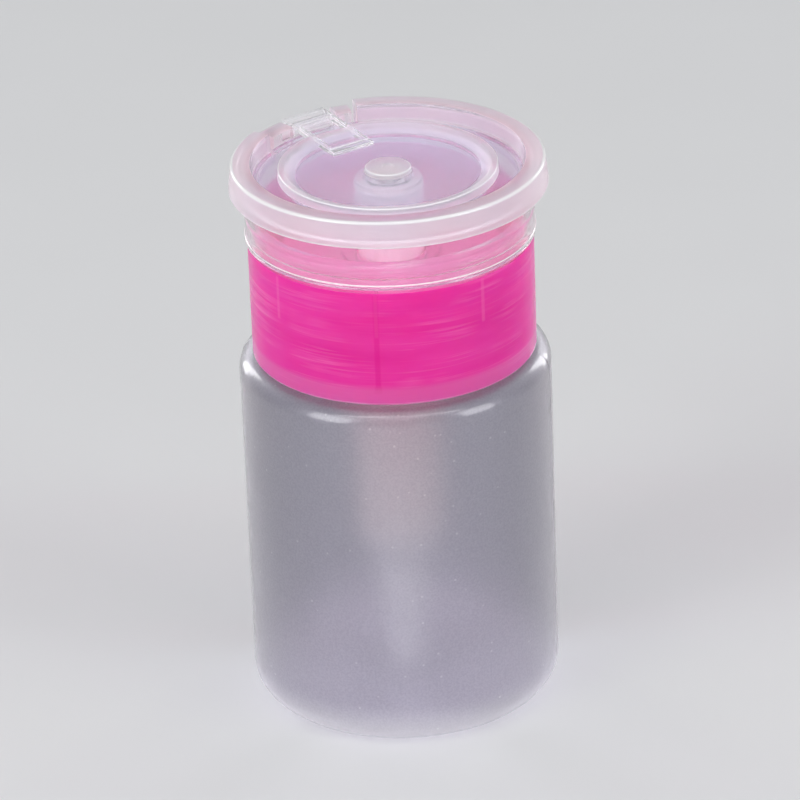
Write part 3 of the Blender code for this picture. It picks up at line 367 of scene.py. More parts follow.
def with_marks(marks, half, radius):
    """Even directions, with close ones round each mark for a fine ridge to stand on."""
    wanted = set(even_angles())
    for mark in marks:
        room = half * MARK_ROOM
        wanted = {angle for angle in wanted if abs(away(angle, mark)) * radius > room}
        wanted |= {(mark + half * share / radius) % math.tau for share in MARK_SHARES}
    return sorted(wanted)


def away(angle, mark):
    """Signed angle from a mark, the short way round."""
    return (angle - mark + math.pi) % math.tau - math.pi


def circle(across, up, radius, angles):
    """Points of a circle round a place, at the given angles."""
    return [(across + radius * math.cos(angle), up + radius * math.sin(angle)) for angle in angles]


def section_at(angle, outline):
    """Places of an outline of (radius, height) at an angle round Z."""
    along = Vector((math.cos(angle), math.sin(angle), 0.0))
    return [along * r + Vector((0.0, 0.0, z)) for r, z in outline]


def turned(name, profile, material, angles=None, closed=True, relief=None):
    """Turns an outline of (radius, height) about Z. relief(angle, r, z) changes the radius."""
    bm = bmesh.new()
    rings = []
    for angle in angles or even_angles():
        section = profile
        if relief:
            section = [(r + (relief(angle, r, z) if r > 0 else 0.0), z) for r, z in profile]
        rings.append([bm.verts.new(place) for place in section_at(angle, section)])
    count = len(profile)
    for index, ring in enumerate(rings):
        other = rings[(index + 1) % len(rings)]
        for here in range(count if closed else count - 1):
            following = (here + 1) % count
            bm.faces.new((ring[here], other[here], other[following], ring[following]))
    return finish_mesh(bm, name, material)


def lofted(sections, name="shape", material=None):
    """Joins rings of places by side faces and closes the first and last ring."""
    bm = bmesh.new()
    rings = [[bm.verts.new(place) for place in section] for section in sections]
    count = len(rings[0])
    for before, after in zip(rings, rings[1:]):
        for index in range(count):
            following = (index + 1) % count
            bm.faces.new((before[index], before[following], after[following], after[index]))
    bm.faces.new(list(reversed(rings[0])))
    bm.faces.new(rings[-1])
    return finish_mesh(bm, name, material)


def turned_slice(profile, start_deg, end_deg, steps):
    """Turns a closed outline through part of a circle and caps both ends."""
    degs = [start_deg + (end_deg - start_deg) * step / steps for step in range(steps + 1)]
    return lofted([section_at(math.radians(degrees), profile) for degrees in degs])


def extruded(outline, low, high, *naming):
    """Extrudes an outline of (y, z) points between two places along X."""
    return lofted([[(x, y, z) for y, z in outline] for x in (low, high)], *naming)


def block(low, high):
    """A plain cutting block between two corners."""
    outline = [(low[1], low[2]), (high[1], low[2]), (high[1], high[2]), (low[1], high[2])]
    return extruded(outline, low[0], high[0])


def combine(piece, other, operation):
    """Adds another shape to a piece, or cuts it away, and drops the other shape."""
    modifier = piece.modifiers.new(operation.lower(), "BOOLEAN")
    modifier.operation = operation
    modifier.solver = "EXACT"
    modifier.object = other
    settle(piece)
    bpy.data.objects.remove(other, do_unlink=True)


def settle(piece):
    """Makes what the modifiers show the piece's own mesh."""
    graph = bpy.context.evaluated_depsgraph_get()
    mesh = bpy.data.meshes.new_from_object(piece.evaluated_get(graph))
    piece.modifiers.clear()
    piece.data = mesh
    shade(mesh)


def helix_ridge(root_radius, crest_radius, start_turn):
    """A thread ridge that fades in and out at its ends."""
    steps = round(THREAD_TURNS * SIDES / 2)
    sections = []
    for step in range(steps + 1):
        turn = THREAD_TURNS * step / steps
        angle = (start_turn + turn) * math.tau
        height = THREAD_START_Z + PITCH * turn
        from_end = min(turn, THREAD_TURNS - turn) / THREAD_FADE_TURNS
        share = THREAD_FADE_SHARE + (1.0 - THREAD_FADE_SHARE) * min(1.0, from_end)
        crest = root_radius + (crest_radius - root_radius) * share
        outline = (
            (root_radius, height - THREAD_ROOT_HALF),
            (crest, height - THREAD_CREST_HALF),
            (crest, height + THREAD_CREST_HALF),
            (root_radius, height + THREAD_ROOT_HALF),
        )
        sections.append(section_at(angle, outline))
    return lofted(sections)


def make_bottle(material):
    """Blown bottle with its fine parting line, pushed-up base and threaded neck."""
    inner = BOTTLE_RADIUS - BOTTLE_WALL
    neck_inner = NECK_RADIUS - NECK_WALL
    foot_mid = FOOT_INNER_RADIUS / 2
    foot_round = FOOT_INNER_RADIUS / 12
    corners = [
        (0.0, BASE_RISE, 0),
        (foot_mid, BASE_RISE * BASE_MID_SHARE, foot_mid / 2),
        (FOOT_INNER_RADIUS, 0.0, foot_round),
        (BOTTLE_RADIUS, 0.0, BASE_CORNER),
        (BOTTLE_RADIUS, BODY_HEIGHT, SHOULDER_RADIUS),
        (NECK_RADIUS, BODY_HEIGHT, NECK_FILLET),
        (NECK_RADIUS, NECK_TOP_Z, LIP_ROUND),
        (neck_inner, NECK_TOP_Z, LIP_ROUND),
        (neck_inner, BODY_HEIGHT - BOTTLE_WALL, NECK_FILLET),
        (inner, BODY_HEIGHT - BOTTLE_WALL, SHOULDER_RADIUS - BOTTLE_WALL),
        (inner, BOTTLE_WALL, BASE_CORNER - BOTTLE_WALL),
        (FOOT_INNER_RADIUS, BOTTLE_WALL, foot_round),
        (0.0, BASE_RISE + BOTTLE_WALL, 0),
    ]
    profile = rounded(corners, BOTTLE_ROUND_STEPS, closed=False)
    marks = [math.radians(PARTING_DEG + turn) % math.tau for turn in (0, 180)]

    def relief(angle, r, z):
        outside = r > inner + BOTTLE_WALL / 2 and z > BASE_CORNER
        on_shoulder = z > BODY_HEIGHT - SHOULDER_RADIUS / 3 and r > NECK_RADIUS + NECK_FILLET
        if not (outside or on_shoulder):
            return 0.0
        nearest = min(abs(away(angle, mark)) for mark in marks) * BOTTLE_RADIUS
        return PARTING_HEIGHT * math.exp(-((nearest / PARTING_HALF) ** 2))

    angles = with_marks(marks, PARTING_HALF, BOTTLE_RADIUS)
    bottle = turned("bottle_frosted", profile, material, angles, closed=False, relief=relief)
    ridge = helix_ridge(NECK_RADIUS - EMBED, THREAD_CREST_RADIUS, 0.0)
    combine(bottle, ridge, "UNION")
    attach(bottle, "bottle")
    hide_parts("bottle")


def make_collar(material, thin, edge):
    """Screw collar with its ribs, flow line, deck, sleeve and inner thread."""
    well = SLEEVE_RADIUS - SLEEVE_WALL
    rib = SLEEVE_RADIUS + SNAP_RIB_HEIGHT
    fine = LIP_ROUND / 3
    # A fourth entry True marks a corner whose edge is painted pale as a highlight
    corners = [
        (GUIDE_RADIUS, DECK_BOTTOM_Z, fine),
        (GUIDE_RADIUS, DECK_RING_TOP_Z, fine),
        (DECK_RING_RADIUS, DECK_RING_TOP_Z, fine),
        (DECK_RING_RADIUS, DECK_TOP_Z, fine),
        (well, DECK_TOP_Z, LIP_ROUND),
        (well, SLEEVE_TOP_Z, fine),
        (SLEEVE_RADIUS, SLEEVE_TOP_Z, fine),
        (SLEEVE_RADIUS, SNAP_RIB_Z + SNAP_RIB_HALF + SNAP_RIB_HEIGHT, 0),
        (rib, SNAP_RIB_Z + SNAP_RIB_HALF, fine),
        (rib, SNAP_RIB_Z - SNAP_RIB_HALF, fine),
        (SLEEVE_RADIUS, SNAP_RIB_Z - SNAP_RIB_HALF - SNAP_RIB_HEIGHT, 0),
        (SLEEVE_RADIUS, COLLAR_STEP_Z, fine),
        (COLLAR_RADIUS, COLLAR_STEP_Z, LIP_ROUND),
        (COLLAR_RADIUS, COLLAR_BOTTOM_Z, LIP_ROUND, True),
        (COLLAR_INNER_RADIUS, COLLAR_BOTTOM_Z, fine),
        (COLLAR_INNER_RADIUS, RIB_BOTTOM_Z - OVERRUN, 0),
        (COLLAR_INNER_RADIUS, RIB_BOTTOM_Z, 0),
        (COLLAR_INNER_RADIUS, DECK_BOTTOM_Z, LIP_ROUND),
    ]
    profile = divided(rounded(corners))
    rib_degs = [RIB_FIRST_DEG + 360 * index / RIB_COUNT for index in range(RIB_COUNT)]
    marks = [math.radians(degrees) % math.tau for degrees in rib_degs]

    def relief(angle, r, z):
        if not well - EMBED < r < COLLAR_INNER_RADIUS + EMBED:
            return 0.0
        if r > well + EMBED and z > DECK_BOTTOM_Z:
            return 0.0
        change = 0.0
        for index, mark in enumerate(marks):
            side = away(angle, mark) * COLLAR_INNER_RADIUS
            if RIB_BOTTOM_Z <= z <= RIB_TOP_Z:
                change -= RIB_HEIGHT * math.exp(-((side / RIB_HALF) ** 4))
            elif index == 0 and z < RIB_BOTTOM_Z:
                dot = math.exp(-(((z - FLOW_DOT_Z) / FLOW_DOT_HALF) ** 2))
                half = FLOW_LINE_HALF * (1 + dot)
                change -= FLOW_LINE_HEIGHT * (1 + dot) * math.exp(-((side / half) ** 2))
        return change

    angles = with_marks(marks, RIB_HALF, COLLAR_INNER_RADIUS)
    collar = turned("collar_pink", profile, material, angles, relief=relief)
    ridge = helix_ridge(COLLAR_INNER_RADIUS + EMBED, NECK_RADIUS + GAP, 0.5)
    combine(collar, ridge, "UNION")
    finish_faces(
        collar,
        thin,
        lambda r, z: z > COLLAR_STEP_Z - EMBED
        or (r < THREAD_CREST_RADIUS and z > DECK_BOTTOM_Z - EMBED),
    )
    paint_edge_highlights(collar, corners, edge)
    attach(collar, "collar")
    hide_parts("collar")


def divided(profile):
    """Adds points along the long edges of a closed outline."""
    points = []
    for index, (r, z) in enumerate(profile):
        following = profile[(index + 1) % len(profile)]
        span = math.dist((r, z), following)
        parts = max(1, math.ceil(span / LONGEST_EDGE))
        for part in range(parts):
            share = part / parts
            points.append((r + (following[0] - r) * share, z + (following[1] - z) * share))
    return points


def hinge_block(side, outer_deg):
    """One arc-shaped block that rises from the head shell and holds an end of the pin."""
    inner = LID_NOTCH_RADIUS + GAP
    middle = (SHELL_INNER_RADIUS + SHELL_RADIUS) / 2
    wall = SHELL_RADIUS - SHELL_INNER_RADIUS
    corners = [
        (middle, BLOCK_ROOT_Z, 0),
        (LID_RIM_OUTER_RADIUS, BLOCK_UNDERSIDE_Z, BLOCK_ROUND / 2),
        (LID_RIM_OUTER_RADIUS, BLOCK_TOP_Z, BLOCK_ROUND),
        (inner, BLOCK_TOP_Z, BLOCK_ROUND),
        (inner, SHELL_TOP_Z - wall, 0),
        (middle, SHELL_TOP_Z - wall - wall, 0),
    ]
    near, far = 90 + side * BLOCK_INNER_DEG, 90 + side * outer_deg
    return turned_slice(rounded(corners), min(near, far), max(near, far), BLOCK_STEPS)


def pin_bore(half_length):
    """The round hole that the hinge pin lies in."""
    outline = circle(HINGE_Y, HINGE_Z, PIN_RADIUS + GAP, even_angles(SMALL_SIDES // 2))
    return extruded(outline, -half_length, half_length)


def make_head_shell(material, milky, edge):
    """Clear ring over the sleeve, with a bead at its foot and the hinge blocks."""
    groove = SHELL_INNER_RADIUS + SNAP_RIB_HEIGHT
    groove_low = SNAP_RIB_Z - SNAP_RIB_HALF - GAP
    groove_high = SNAP_RIB_Z + SNAP_RIB_HALF + GAP
    bead = SHELL_RADIUS + SHELL_BEAD_OUT
    bead_top = SHELL_BOTTOM_Z + SHELL_BEAD_HEIGHT
    # A fourth entry True marks a corner whose edge is painted pale as a highlight
    corners = [
        (SHELL_INNER_RADIUS, SHELL_BOTTOM_Z, SHELL_BEAD_OUT),
        (SHELL_INNER_RADIUS, groove_low - SNAP_RIB_HEIGHT, 0),
        (groove, groove_low, SHELL_BEAD_OUT / 2),
        (groove, groove_high, SHELL_BEAD_OUT / 2),
        (SHELL_INNER_RADIUS, groove_high + SNAP_RIB_HEIGHT, 0),
        (SHELL_INNER_RADIUS, SHELL_TOP_Z, SHELL_BEAD_OUT),
        (SHELL_RADIUS, SHELL_TOP_Z, LIP_ROUND, True),
        (SHELL_RADIUS, bead_top + SHELL_BEAD_OUT, SHELL_BEAD_OUT),
        (bead, bead_top, SHELL_BEAD_OUT, True),
        (bead, SHELL_BOTTOM_Z, SHELL_BEAD_OUT),
    ]
    shell = turned("head_shell_clear", rounded(corners), material)
    gap_half = TONGUE_HALF_WIDTH + GAP
    low = (-gap_half, SLEEVE_RADIUS - SLEEVE_WALL, SWEEP_NOTCH_Z)
    high = (gap_half, LID_SKIRT_RADIUS, BLOCK_TOP_Z)
    combine(shell, block(low, high), "DIFFERENCE")
    for side, notch_deg in ((-1, LID_NOTCH_RIGHT_DEG), (1, LID_NOTCH_LEFT_DEG)):
        combine(shell, hinge_block(side, notch_deg - BLOCK_GAP_DEG), "UNION")
    combine(shell, pin_bore(PIN_HALF_LENGTH + GAP), "DIFFERENCE")
    inside = LID_NOTCH_RADIUS + GAP + EMBED / 2
    finish_faces(
        shell,
        milky,
        lambda r, z: z > SHELL_TOP_Z + LIP_ROUND / 4
        and (r >= inside or z >= BLOCK_TOP_Z - BLOCK_ROUND / 2),
    )
    # The hinge blocks' top edge is painted pale too, as a highlight
    block_highlight = (LID_RIM_OUTER_RADIUS, BLOCK_TOP_Z, BLOCK_ROUND * EDGE_HIGHLIGHT_SHARE)
    paint_edge_highlights(shell, corners, edge, block_highlight)
    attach(shell, "collar")
    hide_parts("head_shell")


def lid_corners():
    """Corners of the lid's outline, from its boss out over the rim and back underneath."""
    fine = LID_ROUND / 2
    ring_flat = LID_RING_RADIUS - fine - LID_RING_FLAT
    ring_foot = ring_flat - LID_RING_SLOPE
    cavity = LID_BOSS_RADIUS - LID_BOSS_WALL
    plug_inner = LID_PLUG_RADIUS - LID_PLUG_WALL
    plug_bottom = LID_UNDERSIDE_Z - LID_PLUG_DEPTH
    hollow_outer = LID_RIM_OUTER_RADIUS - LID_RIM_WALL
    hollow_inner = LID_RIM_INNER_RADIUS + LID_RIM_WALL
    hollow_top = LID_RIM_TOP_Z - LID_RIM_WALL
    ring_inner = LID_RING_RADIUS - LID_RIM_WALL
    ring_roof = LID_RING_TOP_Z - (LID_DISC_Z - LID_DISC_UNDERSIDE_Z)
    dimple = LID_BOSS_TOP_Z - GATE_DIMPLE_DEPTH
    boss_roof = LID_BOSS_TOP_Z - LID_BOSS_WALL
    # A fourth entry True marks a corner whose edge is painted pale as a highlight
    return [
        (0.0, dimple, 0),
        (GATE_DIMPLE_RADIUS, dimple, fine / 2),
        (GATE_DIMPLE_RADIUS + fine, LID_BOSS_TOP_Z, fine / 2),
        (LID_BOSS_RADIUS, LID_BOSS_TOP_Z, fine, True),
        (LID_BOSS_RADIUS, LID_DISC_Z, fine),
        (ring_foot, LID_DISC_Z, fine),
        (ring_flat, LID_RING_TOP_Z, fine),
        (LID_RING_RADIUS, LID_RING_TOP_Z, fine, True),
        (LID_RING_RADIUS, LID_FLOOR_Z, fine),
        (LID_CHANNEL_RADIUS, LID_FLOOR_Z, fine),
        (LID_RIM_INNER_RADIUS, LID_RIM_TOP_Z, LID_ROUND),
        (LID_RIM_OUTER_RADIUS, LID_RIM_TOP_Z, LID_ROUND, True),
        (LID_SKIRT_RADIUS, LID_SKIRT_BOTTOM_Z, fine, True),
        (LID_SKIRT_RADIUS - LID_RIM_WALL, LID_SKIRT_BOTTOM_Z, fine / 2),
        (hollow_outer, hollow_top, LID_ROUND),
        (hollow_inner, hollow_top, LID_ROUND),
        (hollow_inner, LID_UNDERSIDE_Z, fine / 2),
        (LID_PLUG_RADIUS, LID_UNDERSIDE_Z, fine / 2),
        (LID_PLUG_RADIUS, plug_bottom, LID_ROUND / 2),
        (plug_inner, plug_bottom, fine / 2),
        (plug_inner, LID_UNDERSIDE_Z, fine),
        (ring_inner, LID_UNDERSIDE_Z, fine / 2),
        (ring_inner, ring_roof, fine / 2),
        (ring_flat, ring_roof, fine / 2),
        (ring_foot, LID_DISC_UNDERSIDE_Z, fine),
        (cavity, LID_DISC_UNDERSIDE_Z, fine / 2),
        (cavity, boss_roof, fine / 2),
        (0.0, boss_roof, 0),
    ]


def make_lid(material, ring, disc, boss, edge):
    """Clear flip lid: recessed top with a ring and a boss, skirt and hinge notch."""
    lid = turned("lid_clear", rounded(lid_corners(), closed=False), material, closed=False)
    low = LID_UNDERSIDE_Z - LID_PLUG_DEPTH - OVERRUN
    high = LID_RIM_TOP_Z + OVERRUN
    far = LID_SKIRT_RADIUS + OVERRUN
    plug_inner = LID_PLUG_RADIUS - LID_PLUG_WALL - GAP
    step = LID_UNDERSIDE_Z + EMBED
    outline = [(plug_inner, low), (far, low), (far, high), (LID_NOTCH_RADIUS, high)]
    outline += [(LID_NOTCH_RADIUS, step), (plug_inner, step)]
    ends_deg = (90 - LID_NOTCH_RIGHT_DEG, 90 + LID_NOTCH_LEFT_DEG)
    combine(lid, turned_slice(outline, *ends_deg, NOTCH_STEPS), "DIFFERENCE")
    bed_half = TONGUE_HALF_WIDTH - TONGUE_BEVEL
    ring_start = LID_RING_RADIUS - LID_RING_FLAT - LID_RING_SLOPE
    bed_end = LID_RING_RADIUS + EMBED
    bed = block((-bed_half, ring_start, RING_DIP_Z), (bed_half, bed_end, high))
    combine(lid, bed, "DIFFERENCE")
    boss_end = LID_BOSS_RADIUS + LID_ROUND / 4
    disc_end = LID_RIM_INNER_RADIUS + GAP / 2

    def on_ring(r, z):
        near = ring_start - LID_ROUND < r < LID_RING_RADIUS + LID_ROUND / 4
        return near and z > LID_DISC_UNDERSIDE_Z

    finish_faces(lid, ring, on_ring)
    finish_faces(lid, disc, lambda r, z: boss_end <= r < disc_end and not on_ring(r, z))
    finish_faces(lid, boss, lambda r, z: r < boss_end)
    # The skirt's lower edge is painted pale too, as a highlight
    skirt_highlight = (LID_SKIRT_RADIUS, LID_SKIRT_BOTTOM_Z + LID_ROUND / 4, LID_ROUND)
    paint_edge_highlights(lid, lid_corners(), edge, skirt_highlight)
    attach(lid, "lid")
    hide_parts("lid")


def make_tongue(material, edge):
    """Sloping strap with a window and bevelled edges, from the knuckle to the lid's disc."""
    fall = (TONGUE_OUTER_TOP_Z - TONGUE_INNER_TOP_Z) / (TONGUE_KNEE_Y - TONGUE_INNER_Y)
    groove_y = TONGUE_INNER_Y + TONGUE_INNER_BAR * TONGUE_GROOVE_SHARE
    groove_z = TONGUE_INNER_TOP_Z + (groove_y - TONGUE_INNER_Y) * fall
    seat = LID_DISC_Z + TONGUE_LIFT
    outline = [
        (TONGUE_INNER_Y, seat),
        (TONGUE_INNER_Y, TONGUE_INNER_TOP_Z),
        (groove_y, groove_z),
        (groove_y + TONGUE_GROOVE_WIDTH / 2, groove_z - TONGUE_GROOVE_DEPTH),
        (groove_y + TONGUE_GROOVE_WIDTH, groove_z + TONGUE_GROOVE_WIDTH * fall),
        (TONGUE_KNEE_Y, TONGUE_OUTER_TOP_Z),
        (LID_RIM_OUTER_RADIUS, TONGUE_OUTER_TOP_Z),
        (LID_RIM_OUTER_RADIUS, TONGUE_OUTER_TOP_Z - TONGUE_THICKNESS),
    ]
    degs = [KNUCKLE_START_DEG - KNUCKLE_STEP_DEG * step for step in range(KNUCKLE_STEPS + 1)]
    outline += circle(HINGE_Y, HINGE_Z, KNUCKLE_RADIUS, map(math.radians, degs))
    outline += [
        (HINGE_Y - KNUCKLE_RADIUS, TONGUE_OUTER_TOP_Z - TONGUE_THICKNESS),
        (TONGUE_INNER_Y + TONGUE_INNER_BAR, seat),
    ]
    half = TONGUE_HALF_WIDTH
    tongue = extruded(outline, -half, half, "lid_tongue", material)
    window_half = half - TONGUE_BAR
    low = (-window_half, TONGUE_INNER_Y + TONGUE_INNER_BAR, LID_FLOOR_Z - OVERRUN)
    high = (window_half, HINGE_Y - KNUCKLE_RADIUS - EMBED, TONGUE_OUTER_TOP_Z + OVERRUN)
    combine(tongue, block(low, high), "DIFFERENCE")
    combine(tongue, pin_bore(half + GAP), "DIFFERENCE")
    # The bevelled edges take the edge finish, painted pale as a highlight
    bevel = tongue.modifiers.new("edges", "BEVEL")
    bevel.width = TONGUE_BEVEL
    bevel.segments = 2
    bevel.limit_method = "ANGLE"
    bevel.angle_limit = math.radians(TONGUE_BEVEL_FROM_DEG)
    bevel.material = 1
    tongue.data.materials.append(edge)
    settle(tongue)
    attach(tongue, "lid")


def make_dish(material):
    """Shallow press dish with a rim and a hub."""
    fine = LIP_ROUND / 2
    rim_inner = DISH_RADIUS - DISH_RIM_WALL
    bore = SPIGOT_RADIUS + GAP
    recess = NOZZLE_FLANGE_RADIUS + GAP
    corners = [
        (bore, DISH_HUB_BOTTOM_Z, fine / 2),
        (bore, DISH_FLOOR_Z, 0),
        (recess, DISH_FLOOR_Z, fine / 2),
        (recess, DISH_HUB_TOP_Z, fine),
        (COLUMN_RADIUS, DISH_HUB_TOP_Z, fine),
        (COLUMN_RADIUS, DISH_FLOOR_Z, fine),
        (rim_inner, DISH_FLOOR_Z, fine),
        (rim_inner, DISH_RIM_TOP_Z, fine),
        (DISH_RADIUS, DISH_RIM_TOP_Z, fine),
        (DISH_RADIUS, DISH_UNDERSIDE_Z, DISH_RIM_WALL),
        (COLUMN_RADIUS, DISH_UNDERSIDE_Z, fine / 2),
        (COLUMN_RADIUS, DISH_HUB_BOTTOM_Z, fine / 2),
    ]
    dish = turned("dish_clear", rounded(corners), material)
    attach(dish, "press")
    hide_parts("dish")


def make_stem(material):
    """Pump stem: the wide cored column, the rod inside it, the outlet seat and the foot."""
    core = COLUMN_RADIUS - COLUMN_WALL
    roof = COLUMN_TOP_Z - COLUMN_CAP
    fine = LIP_ROUND / 2
    corners = [
        (ROD_BORE_RADIUS, STEM_BOTTOM_Z, 0),
        (ROD_BORE_RADIUS, OUTLET_SEAT_Z, 0),
        (OUTLET_BORE_RADIUS, OUTLET_SEAT_Z + OUTLET_BORE_RADIUS - ROD_BORE_RADIUS, 0),
        (OUTLET_BORE_RADIUS, DISH_FLOOR_Z, 0),
        (SPIGOT_RADIUS, DISH_FLOOR_Z, fine),
        (SPIGOT_RADIUS, COLUMN_TOP_Z, fine),
        (COLUMN_RADIUS, COLUMN_TOP_Z, LIP_ROUND),
        (COLUMN_RADIUS, COLUMN_BOTTOM_Z, fine),
        (core, COLUMN_BOTTOM_Z, fine),
        (core, roof, LIP_ROUND),
        (ROD_RADIUS, roof, LIP_ROUND),
        (ROD_RADIUS, STEM_FOOT_TOP_Z, fine),
        (STEM_FOOT_RADIUS, STEM_FOOT_TOP_Z, fine),
        (STEM_FOOT_RADIUS, STEM_BOTTOM_Z, fine),
    ]
    stem = turned("stem_cream", rounded(corners), material, even_angles(SMALL_SIDES))
    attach(stem, "press")
    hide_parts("stem")


def make_nozzle(material):
    """Small outlet cap in the middle of the dish."""
    fine = LIP_ROUND / 3
    plug_radius = OUTLET_BORE_RADIUS - GAP
    plug_bottom = NOZZLE_FLANGE_Z - NOZZLE_PLUG_DEPTH
    roof = NOZZLE_TOP_Z - NOZZLE_FLANGE_RADIUS / 6
    corners = [
        (NOZZLE_BORE_RADIUS, plug_bottom, 0),
        (NOZZLE_BORE_RADIUS, roof, 0),
        (NOZZLE_HOLE_RADIUS, roof, 0),
        (NOZZLE_HOLE_RADIUS, NOZZLE_TOP_Z, fine),
        (NOZZLE_TIP_RADIUS, NOZZLE_TOP_Z, fine),
        (NOZZLE_TIP_RADIUS, NOZZLE_FLANGE_TOP_Z, fine),
        (NOZZLE_FLANGE_RADIUS, NOZZLE_FLANGE_TOP_Z, fine),
        (NOZZLE_FLANGE_RADIUS, NOZZLE_FLANGE_Z, fine),
        (plug_radius, NOZZLE_FLANGE_Z, 0),
        (plug_radius, plug_bottom, fine),
    ]
    nozzle = turned("nozzle_clear", rounded(corners), material, even_angles(SMALL_SIDES))
    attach(nozzle, "press")
    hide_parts("nozzle_cap")


def make_spring(material):
    """Return spring of round wire, with a close turn at each end, built at one length; the real one
    shortens with the press.
    """
    turns = SPRING_ACTIVE_TURNS + 2
    coiled = SPRING_TOP_Z - SPRING_BOTTOM_Z - SPRING_WIRE_RADIUS * 2
    pitch = (coiled - SPRING_END_PITCH * 2) / SPRING_ACTIVE_TURNS
    height = SPRING_BOTTOM_Z + SPRING_WIRE_RADIUS
    sections = []
    for step in range(turns * SPRING_STEPS + 1):
        outline = circle(SPRING_RADIUS, height, SPRING_WIRE_RADIUS, even_angles(WIRE_SIDES))
        sections.append(section_at(math.tau * step / SPRING_STEPS, outline))
        at_end = step < SPRING_STEPS or step >= (turns - 1) * SPRING_STEPS
        height += (SPRING_END_PITCH if at_end else pitch) / SPRING_STEPS
    spring = lofted(sections, "spring_coil", material)
    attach(spring, "pump")
    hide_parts("return_spring")
    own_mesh(spring)


def plug(material, target, sockets):
    """Gives a node's sockets plain values, or links them to the outputs of other nodes."""
    for socket, value in sockets.items():
        if isinstance(value, bpy.types.NodeSocket):
            material.node_tree.links.new(value, target.inputs[socket])
        else:
            target.inputs[socket].default_value = value
    return target


def node(material, kind, sockets, **settings):
    """Adds a shader node with its settings, values and links."""
    made = material.node_tree.nodes.new("ShaderNode" + kind)
    for name, value in settings.items():
        setattr(made, name, value)
    return plug(material, made, sockets)


def shader_of(material):
    """The material's Principled shader."""
    return material.node_tree.nodes["Principled BSDF"]


def on_shader(material, sockets):
    """Sets sockets of the material's shader."""
    plug(material, shader_of(material), sockets)


def principled(name, colour, roughness, transmission=0.0, ior=1.45, metallic=0.0):
    """A material with one Principled shader and plain numbers on its sockets."""
    material = bpy.data.materials.new(name)
    material.use_nodes = True
    on_shader(material, {
        "Base Color": (*colour, 1.0),
        "Roughness": roughness,
        "Transmission Weight": transmission,
        "IOR": ior,
        "Metallic": metallic,
    })
    return material


def skin(material, weight, roughness):
    """A glossy moulded skin over the body colour."""
    on_shader(material, {"Coat Weight": weight, "Coat Roughness": roughness, "Coat IOR": SKIN_IOR})


def glow_through(material, depth, tint, weight=1.0):
    """Lets light wander through the wall, so that the far side is lit too."""
    on_shader(material, {
        "Subsurface Weight": weight,
        "Subsurface Radius": tint,
        "Subsurface Scale": depth,
    })


def let_lamps_through(material, tint):
    """Lamps reach what lies behind the wall, a little coloured by it."""
    path = node(material, "LightPath", {})
    clear = node(material, "BsdfTransparent", {"Color": (*tint, 1.0)})
    choice = node(material, "MixShader", {
        0: path.outputs["Is Shadow Ray"],
        1: shader_of(material).outputs[0],
        2: clear.outputs[0],
    })
    output = material.node_tree.nodes["Material Output"]
    plug(material, output, {"Surface": choice.outputs[0]})


def place_on(material):
    """The place on the piece, in metres."""
    return node(material, "TexCoord", {}).outputs["Object"]


def noise(material, scale, detail, stretch=(1.0, 1.0, 1.0)):
    """A noise texture in metres, stretched along the axes."""
    mapping = node(material, "Mapping", {"Vector": place_on(material), "Scale": stretch})
    sockets = {"Vector": mapping.outputs["Vector"], "Scale": scale, "Detail": detail}
    return node(material, "TexNoise", sockets).outputs["Fac"]


def spread(material, field, low, high, first=0.0, second=1.0, smooth=False):
    """Brings a field that runs between two values to between two others."""
    sockets = {"Value": field, "From Min": low, "From Max": high, "To Min": first, "To Max": second}
    shape = "SMOOTHSTEP" if smooth else "LINEAR"
    return node(material, "MapRange", sockets, interpolation_type=shape).outputs["Result"]


def product(material, first, second):
    """Two fields multiplied."""
    return node(material, "Math", {0: first, 1: second}, operation="MULTIPLY").outputs[0]


def height_share(material, low, high, first, second):
    """A value that goes smoothly from one to another between two heights."""
    split = node(material, "SeparateXYZ", {0: place_on(material)})
    return spread(material, split.outputs["Z"], low, high, first, second, smooth=True)


def radius_share(material, low, high, first, second):
    """A value that goes smoothly from one to another between two distances from the axis."""
    level = {0: place_on(material), 1: (1.0, 1.0, 0.0)}
    flat = node(material, "VectorMath", level, operation="MULTIPLY").outputs["Vector"]
    length = node(material, "VectorMath", {0: flat}, operation="LENGTH").outputs["Value"]
    return spread(material, length, low, high, first, second, smooth=True)


def near_lines(material, first_deg, count, half, radius):
    """1 on upright lines round the axis, 0 away from them."""
    split = node(material, "SeparateXYZ", {0: place_on(material)})
    sides = {0: split.outputs["Y"], 1: split.outputs["X"]}
    value = node(material, "Math", sides, operation="ARCTAN2").outputs[0]
    for operation, sockets in (
        ("SUBTRACT", {1: math.radians(first_deg)}),
        ("WRAP", {1: math.pi / count, 2: -math.pi / count}),
        ("ABSOLUTE", {}),
        ("MULTIPLY", {1: radius}),
    ):
        value = node(material, "Math", {0: value, **sockets}, operation=operation).outputs[0]
    return spread(material, value, *(half * share for share in LINE_FADE), smooth=True)


def specks(material, scale, reach):
    """1 in small spots scattered over a surface, 0 between them."""
    cells = node(material, "TexVoronoi", {"Vector": place_on(material), "Scale": scale})
    return spread(material, cells.outputs["Distance"], reach, reach * 0.5)


def vary_roughness(material, field, low, high):
    """Roughness that follows a noise between two values."""
    on_shader(material, {"Roughness": spread(material, field, *NOISE_SPAN, low, high)})


def vary_colour(material, field, first, second):
    """Colour that follows a noise between two values."""
    ramp = node(material, "ValToRGB", {"Fac": field})
    for stop, position, colour in zip(ramp.color_ramp.elements, COLOUR_STOPS, (first, second)):
        stop.position = position
        stop.color = (*colour, 1.0)
    on_shader(material, {"Base Color": ramp.outputs["Color"]})


def tint_where(material, share, colour):
    """Mixes a colour over the base colour by a share."""
    under = shader_of(material).inputs["Base Color"].links[0].from_socket
    mix = node(material, "Mix", {0: share, 6: under, 7: (*colour, 1.0)}, data_type="RGBA")
    on_shader(material, {"Base Color": mix.outputs[2]})


